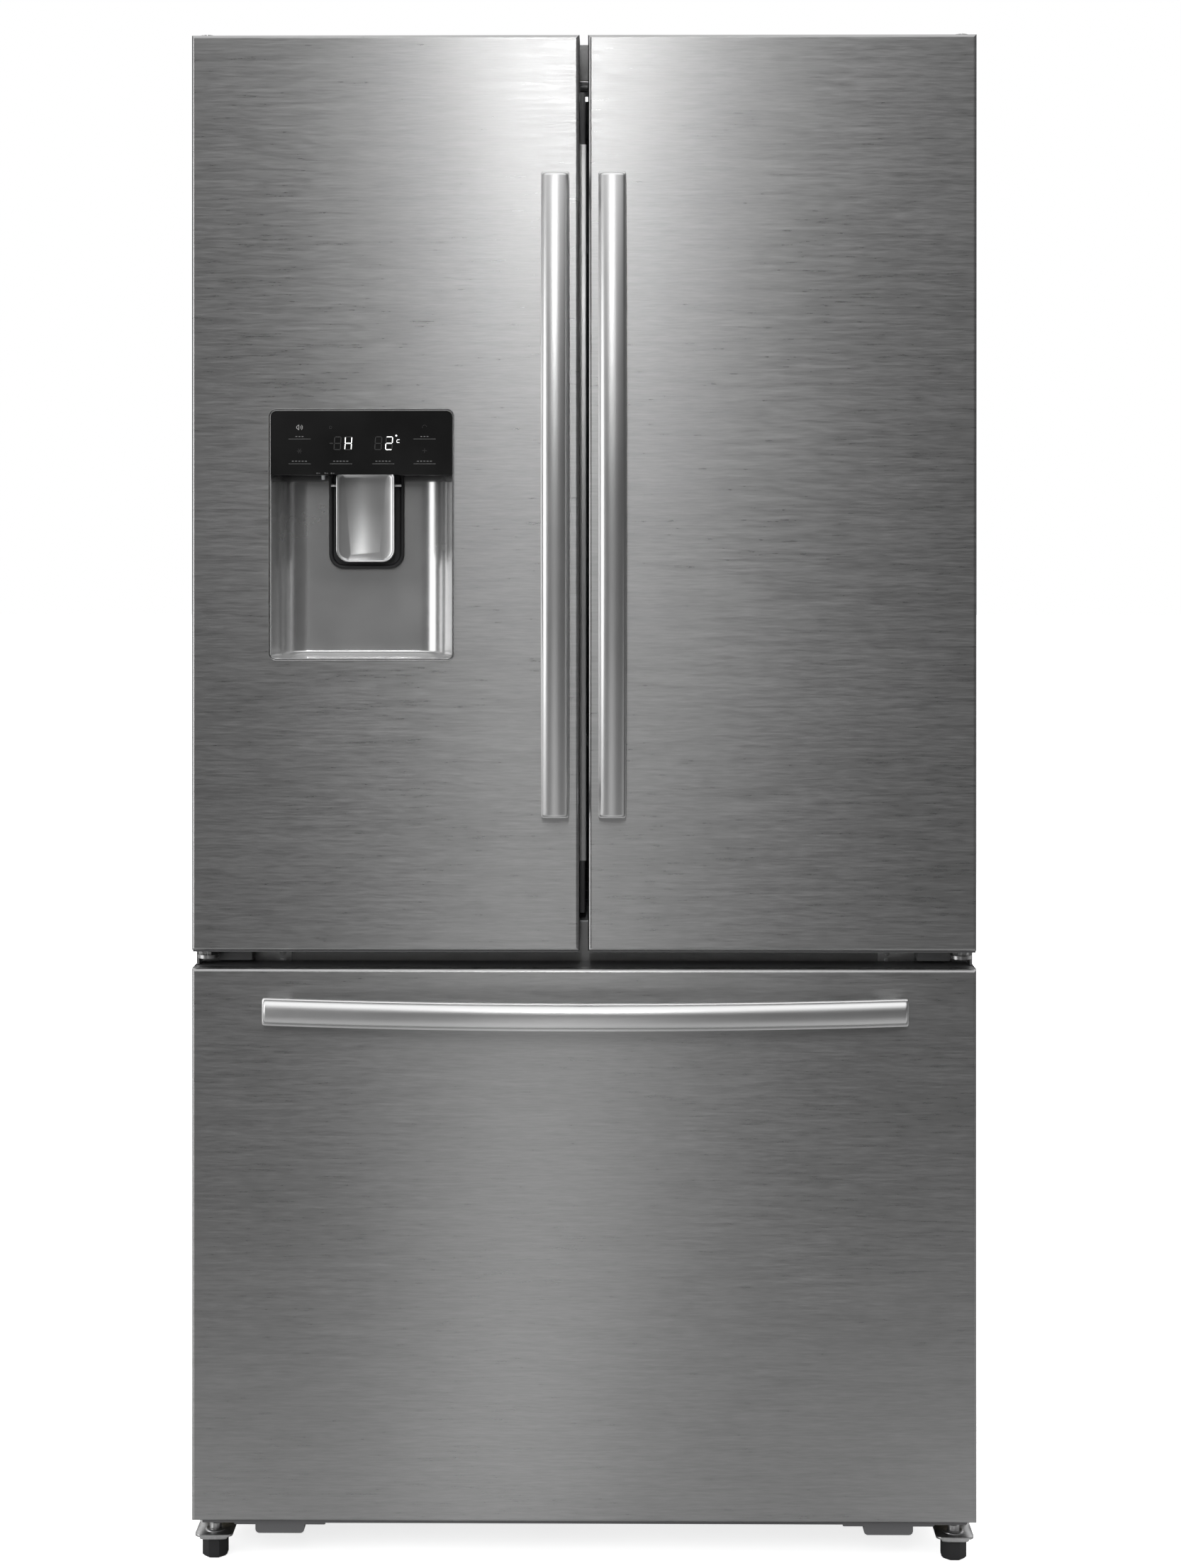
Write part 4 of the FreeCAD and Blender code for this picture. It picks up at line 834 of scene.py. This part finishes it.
def dairy():
    """Covered box at the top of the right door: tray, two cheeks and a hinged lid."""
    low, high = opening("dairy_box_well", (7, 7, 5), (7, 6, 3))
    tray_piece("dairy_tray", low, high, "right_door", "clear_plastic", 0.008, 0.003, 0.001, 0.001)
    lid_low, lid_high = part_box("dairy_lid")
    bins_low, bins_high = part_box("right_door_bins")
    bm = bmesh.new()
    for x in (lid_low.x, lid_high.x - 0.003):
        slab(bm, (x, bins_low.y, low.z + 0.040), (x + 0.003, bins_low.y + 0.025, bins_high.z),
             0, 0.007)
    put_object("dairy_cheeks", bm, "clear_plastic", "right_door")

    pin_y, pin_z, t = lid_low.y + 0.005, lid_high.z - 0.005, 0.003
    front, bend, foot = lid_high.y, 0.016, lid_low.z
    y0, z0 = front - bend, pin_z + t - bend
    outer = [(pin_y, pin_z + t), *arc_points(y0, z0, bend, 90, 0, 8),
             (front, foot + 0.001), (front - 0.001, foot)]
    inner = [(pin_y, pin_z), *arc_points(y0, z0, bend - t, 90, 0, 8),
             (front - t, foot + 0.001), (front - t + 0.001, foot)]
    profile = outer + inner[::-1]
    x0, x1 = lid_low.x + 0.0065, lid_high.x - 0.0065
    bm = bmesh.new()
    loft(bm, [[Vector((x, y, z)) for y, z in profile] for x in (x0, x1)])
    disc(bm, (x0, pin_y, pin_z), 0, [(0.0042, 0), (0.005, 0.0008), (0.005, x1 - x0 - 0.0008),
                                     (0.0042, x1 - x0)], 24)
    disc(bm, (lid_low.x, pin_y, pin_z), 0,
         [(0.002, 0), (0.0025, 0.0006), (0.0025, lid_high.x - lid_low.x - 0.0006),
          (0.002, lid_high.x - lid_low.x)], 20)
    lid = put_object("dairy_cover", bm, "clear_plastic", "dairy_lid", 35)
    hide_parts("dairy_lid")


# ---------------------------------------- drawers inside
def crisper(node):
    """Clear drawer: drafted tray and a thicker front with a finger recess."""
    low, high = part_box(node)
    tray = tray_piece(node + "_tray", (low.x + 0.003, low.y + 0.010, low.z + 0.001),
                      (high.x - 0.003, high.y, high.z - 0.006), node, "clear_plastic", 0.012,
                      0.003, 0.003, 0.001)
    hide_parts(node)
    centre, half = (low + high) / 2, (high - low) / 2
    back = low.y + 0.011
    rings = []
    for inset, y in ((0.001, back), (0.0, back - 0.001), (0.0, low.y + 0.005),
                     (0.0012, low.y + 0.0015), (0.004, low.y)):
        rings.append(upright_ring(centre.x, y, centre.z, half.x - inset, half.z - inset,
                                  0.008 - inset))
    grip_z, grip_half = high.z - 0.020, 0.012
    for inset, y in ((0.0, low.y), (0.0008, low.y + 0.0010), (0.002, low.y + 0.004)):
        rings.append(upright_ring(centre.x, y, grip_z, half.x - 0.063 - inset, grip_half - inset,
                                  0.005))
    bm = bmesh.new()
    loft(bm, rings)
    put_object(node + "_front", bm, "clear_plastic", node)


def freezer_trays():
    """Ribbed basket of the drawer, and the sliding tray above it on its runners."""
    low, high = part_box("drawer_basket")
    basket = tray_piece("basket_tray", low, high, "drawer", "white_plastic", 0.022, 0.003, 0.004,
                        0.003)
    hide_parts("drawer_basket")
    bm = bmesh.new()
    for level in (0.060, 0.120, 0.180):
        inset = 0.0068 - 0.004 * level / 0.225
        band = [(inset, level), (inset - 0.0016, level + 0.001), (inset - 0.0016, level + 0.003),
                (inset, level + 0.004)]
        closed_ring(bm, low, high, 2, band, 0.022)
    put_object("basket_ribs", bm, "white_plastic", "drawer")

    low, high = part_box("freezer_tray")
    tray = tray_piece("upper_tray", (low.x + 0.012, low.y, low.z + 0.0036),
                      (high.x - 0.012, high.y, high.z), "freezer_tray", "white_plastic", 0.018,
                      0.003, 0.004, 0.003)
    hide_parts("freezer_tray")
    bm = bmesh.new()
    y0, y1 = low.y + 0.016, high.y - 0.015
    for x in (low.x, high.x - 0.010):
        slab(bm, (x, y0, low.z), (x + 0.010, y1, low.z + 0.0056), 2, 0.002, 0.0005)
    for x in (low.x, high.x - 0.018):
        slab(bm, (x, y0, low.z + 0.0036), (x + 0.018, y1, low.z + 0.0066), 2, 0.003, 0.0005)
    put_object("upper_tray_runners", bm, "white_plastic", "freezer_tray")


# ---------------------------------------- feet, hinges and screws
def foot_brackets():
    """Plated angles for the levelling feet: plate, rolled lip, boss, washer and side webs."""
    low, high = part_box("foot_brackets")
    bm = bmesh.new()
    half, t = 0.022, 0.003
    for foot in ("foot_left", "foot_right"):
        stud_low, stud_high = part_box(foot)
        x, y = (stud_low.x + stud_high.x) / 2, (stud_low.y + stud_high.y) / 2
        z = low.z + 0.004
        x0, x1 = x - half, x + half
        slab(bm, (x0, low.y, z), (x1, high.y, z + t), 2, 0.009, 0.0006)
        lip = []
        for i in range(17):
            angle = math.pi * i / 16
            lip.append((max(0.0034 * math.sin(angle) ** 0.35, 0.0004),
                        (0.006 - half) * math.cos(angle)))
        disc(bm, (x, low.y + 0.0036, z - 0.0004), 0, lip, 16)
        bore = 0.0052
        disc(bm, (x, y, z), 2, [(bore, 0.0120), (bore, 0.0), (0.0070, 0.0), (0.0070, 0.0112),
                                (0.0064, 0.0120), (bore, 0.0120)])
        disc(bm, (x, y, z + t), 2, [(0.0072, -0.0004), (0.0072, 0.0010), (0.0084, 0.0017),
                                    (0.0112, 0.0017), (0.0125, 0.0008), (0.0128, -0.0004)])
        for wx in (x0, x1 - t):
            web = [(high.y - 0.080, z + t), (high.y - 0.074, z + 0.008), (high.y - 0.060, high.z),
                   (high.y, high.z), (high.y, z)]
            loft(bm, [[Vector((px, py, pz)) for py, pz in web] for px in (wx, wx + t)])
    bracket = put_object("foot_angles", bm, "zinc_steel", "cabinet", 35)
    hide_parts("foot_brackets")


def screw_head(bm, seat, axis, way, radius, height):
    """Pan head with a cross, on a thin washer that stands on its seat."""
    tall = way * height
    disc(bm, seat, axis, [(radius * 0.55, 0), (radius, 0), (radius, way * 0.0006),
                          (radius * 0.74, way * 0.0007), (radius * 0.72, tall * 0.55),
                          (radius * 0.58, tall * 0.88), (radius * 0.34, tall),
                          (radius * 0.16, tall), (radius * 0.10, tall * 0.55)])
    a, b = [i for i in range(3) if i != axis]
    arm, arm_half = radius * 0.42, radius * 0.08
    for turn in (math.radians(45), math.radians(135)):
        rings = []
        for level in (0.90, 0.99):
            ring = []
            for u, v in ((-arm, -arm_half), (arm, -arm_half), (arm, arm_half), (-arm, arm_half)):
                point = Vector(seat)
                point[a] += u * math.cos(turn) - v * math.sin(turn)
                point[b] += u * math.sin(turn) + v * math.cos(turn)
                point[axis] += tall * level
                ring.append(point)
            rings.append(ring)
        loft(bm, rings)


RAIL_SCREW_X, RAIL_SCREW_LEVELS = 0.358, (0.6905, 0.6992)
HINGE_SCREW_X, HINGE_SCREW_PLACES = 0.423, (-0.215, -0.175)
COVER_SCREW_X = (0.120, 0.360)
HINGE_PIN_X = 0.441
PLATE_T = 0.0018                       # screw plates of the middle hinges, on the rail


def all_screws():
    """Screws of the middle hinges' plates, of the top hinges and of the rear cover."""
    low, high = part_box("screws")
    plate_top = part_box("door_hinges")[1].z
    rail_y, cover_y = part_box("cabinet_shell")[0].y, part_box("rear_cover")[1].y
    bm = bmesh.new()
    for side in (-1, 1):
        for z in RAIL_SCREW_LEVELS:
            screw_head(bm, (side * RAIL_SCREW_X, rail_y - PLATE_T, z), 1, -1, 0.0042, 0.0022)
        for y in HINGE_SCREW_PLACES:
            screw_head(bm, (side * HINGE_SCREW_X, y, plate_top), 2, 1, 0.005, high.z - plate_top)
        for x in COVER_SCREW_X:
            screw_head(bm, (side * x, cover_y + 0.0003, low.z + 0.0045), 1, 1, 0.0045, 0.002)
    heads = put_object("screw_heads", bm, "screw_zinc", "cabinet", 30)
    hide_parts("screws")


def hinge_covers():
    """Moulded caps over the top hinges, sloping down to the front."""
    low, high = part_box("hinge_covers")
    width = 0.106
    side_view = [(low.y, low.z), (low.y, low.z + 0.005), (low.y + 0.020, high.z),
                 (high.y - 0.014, high.z), (high.y, low.z + 0.003), (high.y, low.z)]
    bm = bmesh.new()
    for x0 in (low.x, high.x - width):
        loft(bm, [[Vector((x, y, z)) for y, z in side_view] for x in (x0, x0 + width)])
    covers = put_object("hinge_caps", bm, "grey_plastic", "cabinet", 30)
    bevel(covers, 0.0016, 3)
    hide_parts("hinge_covers")


def hinge_nuts():
    """Hexagon nuts on the middle hinges."""
    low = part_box("door_hinges")[0]
    bm = bmesh.new()
    for x in (-HINGE_PIN_X, HINGE_PIN_X):
        disc(bm, (x, low.y + 0.0124, low.z + 0.0115), 2,
             [(0.0096, 0), (0.0102, 0.0006), (0.0102, 0.0040), (0.0092, 0.0046)], 6)
    put_object("hinge_nuts", bm, "zinc_steel", "cabinet", 25)


def hinge_blocks():
    """Blocks and screw plates on the rail beside the middle hinges."""
    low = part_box("centre_rail")[0]
    block_in, block_out, block_foot, block_top = 0.3915, 0.4305, 0.6930, 0.7105
    plate_lefts, plate_width, plate_foot, plate_head = (-0.391, 0.348), 0.0434, 0.6880, 0.7108
    bm = bmesh.new()
    for x0, x1 in ((-block_out, -block_in), (block_in, block_out)):
        slab(bm, (x0, low.y - 0.024, block_foot), (x1, low.y - 0.0002, block_top), 1, 0.0016, 0.001)
    put_object("hinge_blocks", bm, "grey_plastic", "cabinet")
    bm = bmesh.new()
    for x0 in plate_lefts:
        slab(bm, (x0, low.y - PLATE_T, plate_foot), (x0 + plate_width, low.y + 0.0004, plate_head),
             1, 0.0012, 0.0004)
    put_object("hinge_plates", bm, "flap_steel", "cabinet")


def lamp():
    """Light in the ceiling of the fridge: frame and ribbed lens."""
    low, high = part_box("fridge_liner")
    ceiling = high.z - 0.002
    lens_low = (-0.075, low.y + 0.070, ceiling - 0.006)
    lens_high = (0.075, low.y + 0.110, ceiling)
    bm = bmesh.new()
    slab(bm, lens_low, lens_high, 2, 0.010, 0.0015)
    put_object("lamp_frame", bm, "white_plastic", "cabinet")
    bm = bmesh.new()
    for i in range(13):
        x = -0.066 + 0.0102 * i
        slab(bm, (x, lens_low[1] + 0.006, lens_low[2] - 0.0016),
             (x + 0.0092, lens_high[1] - 0.006, lens_low[2] + 0.001), 2, 0.0015, 0.0008)
    put_object("lamp_lens", bm, "lamp_lens", "cabinet")


for door in ("left_door", "right_door", "drawer"):
    gasket(door + "_gasket", door)
flap()
for side in ("left", "right"):
    for level in ("low", "middle", "top"):
        last = door_bin(side + "_bin_" + level, side + "_door")
    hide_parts(side + "_door_bins")
dairy()
for side in ("left", "right"):
    crisper("crisper_" + side)
freezer_trays()
foot_brackets()
all_screws()
hinge_covers()
hinge_nuts()
hinge_blocks()
lamp()


# ---------------------------------------- stage, light, camera
PAINTED_POOL_WIDTH = 0.145                     # width of the painted pool of light, a bright lane painted on the floor in front
# painted shade: the floor colour that other rays see, near and far
PAINTED_SHADE_NEAR_FAR = (0.29, 0.07)
PAINTED_POOL_NEAR_FAR = (0.12, 0.36)


def floor():
    """Pale floor; other rays see a duller copy, painted darker far off, with a painted lane of light
    in front.
    """
    bm = bmesh.new()
    bmesh.ops.create_grid(bm, x_segments=8, y_segments=8, size=30)
    mesh = bpy.data.meshes.new("floor")
    bm.to_mesh(mesh)
    bm.free()
    obj = bpy.data.objects.new("floor", mesh)
    obj.location.z = cad_box[0][2] - 0.0005
    bpy.context.scene.collection.objects.link(obj)
    n = new_material("floor")
    pale = n.ramp(n.noise(3.0, 4.0), 0.90, 0.94)
    place = n.add("ShaderNodeSeparateXYZ", {0: n.add("ShaderNodeTexCoord").outputs["Object"]})
    # painted pool of light: a bright lane in front, in the colour that other rays see
    ahead = n.math("MAXIMUM", n.math("MULTIPLY", place.outputs["Y"], -1.0), 0.3)
    spread = n.math("MULTIPLY", n.math("ADD", ahead, 2.9), PAINTED_POOL_WIDTH / 3.2)
    off = n.math("DIVIDE", n.math("ADD", place.outputs["X"], 0.10), spread)
    painted_pool = n.math("EXPONENT", n.math("MULTIPLY", n.math("MULTIPLY", off, off), -1.0))
    # painted shade: the floor seen in reflections gets darker with distance
    painted_shade = n.span(ahead, 0.35, 1.6, *PAINTED_SHADE_NEAR_FAR)
    painted_pool_gain = n.span(ahead, 0.35, 2.4, *PAINTED_POOL_NEAR_FAR)
    # painted light: the dim floor colour plus the painted lane, for all rays but the camera's
    level = n.math("ADD", painted_shade, n.math("MULTIPLY", painted_pool, painted_pool_gain))
    seen = n.add("ShaderNodeLightPath").outputs["Is Camera Ray"]
    tone = n.add("ShaderNodeMix", {"Factor": seen, 6: n.grey(level), 7: pale}, data_type="RGBA")
    n.surface({"Base Color": tone.outputs[2], "Roughness": 0.9, "Specular IOR Level": 0.0,
               "Emission Color": pale, "Emission Strength": n.math("MULTIPLY", seen, 0.85)})
    mesh.materials.append(MATERIALS["floor"])


def area_light(name, place, target, width, height, watts, mirrored=True):
    """Soft light; one that isn't mirrored lights surfaces without showing in the steel."""
    light = bpy.data.lights.new(name, "AREA")
    light.shape = "RECTANGLE"
    light.size, light.size_y = width, height
    light.energy = watts
    obj = bpy.data.objects.new(name, light)
    obj.location = place
    aim = Vector(target) - Vector(place)
    obj.rotation_euler = aim.to_track_quat("-Z", "Y").to_euler()
    obj.visible_glossy = mirrored
    bpy.context.scene.collection.objects.link(obj)


def studio():
    """White surround for the eye, a dimmer room in the reflections, and soft lights."""
    world = bpy.data.worlds.new("studio")
    bpy.context.scene.world = world
    world.use_nodes = True
    n = Nodes(world.node_tree)
    seen = n.add("ShaderNodeBackground", {"Color": WHITE, "Strength": 1.0})
    up = n.add("ShaderNodeSeparateXYZ", {0: n.add("ShaderNodeTexCoord").outputs["Generated"]})
    ceiling = n.span(up.outputs["Z"], 0.24, 0.62, 0.024, 1.15)
    room = n.add("ShaderNodeBackground", {"Color": WHITE, "Strength": ceiling})
    ray = n.add("ShaderNodeLightPath").outputs["Is Camera Ray"]
    mix = n.add("ShaderNodeMixShader", {0: ray, 1: room.outputs[0], 2: seen.outputs[0]})
    n.add("ShaderNodeOutputWorld", {"Surface": mix.outputs[0]})

    area_light("front_box", (-0.12, -5.6, 3.3), (-0.05, -0.3, 1.4), 0.22, 1.7, 28)
    area_light("left_box", (-3.7, -2.1, 1.05), (0, -0.3, 1.1), 2.2, 2.8, 50)
    area_light("overhead", (0, -0.6, 5.0), (0, 0, 0), 5.0, 5.0, 300, mirrored=False)
    area_light("front_fill", (-1.5, -5.0, 2.2), (0, 0, 0.9), 3.0, 3.0, 60, mirrored=False)
    area_light("rear_fill", (2.5, 4.5, 3.0), (0, 0, 0.9), 2.5, 2.5, 140, mirrored=False)


def camera():
    """Level view of the front from standing height, a touch to the right of centre."""
    data = bpy.data.cameras.new("camera")
    obj = bpy.data.objects.new("camera", data)
    scene = bpy.context.scene
    scene.collection.objects.link(obj)
    face_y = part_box("drawer_skin")[0].y
    distance, eye_height, frame_height = 3.2, 1.219, 1.8167
    data.sensor_fit = "VERTICAL"
    data.sensor_height = 36
    data.lens = data.sensor_height * distance / frame_height
    yaw = math.radians(0.55)
    data.shift_x = 0.0043
    data.shift_y = -0.172
    target = Vector((0, face_y, eye_height))
    obj.location = target + Vector((math.sin(yaw), -math.cos(yaw), 0)) * distance
    obj.rotation_euler = (math.pi / 2, 0, yaw)
    scene.camera = obj


floor()
studio()
camera()
bpy.context.scene.view_settings.view_transform = "Standard"
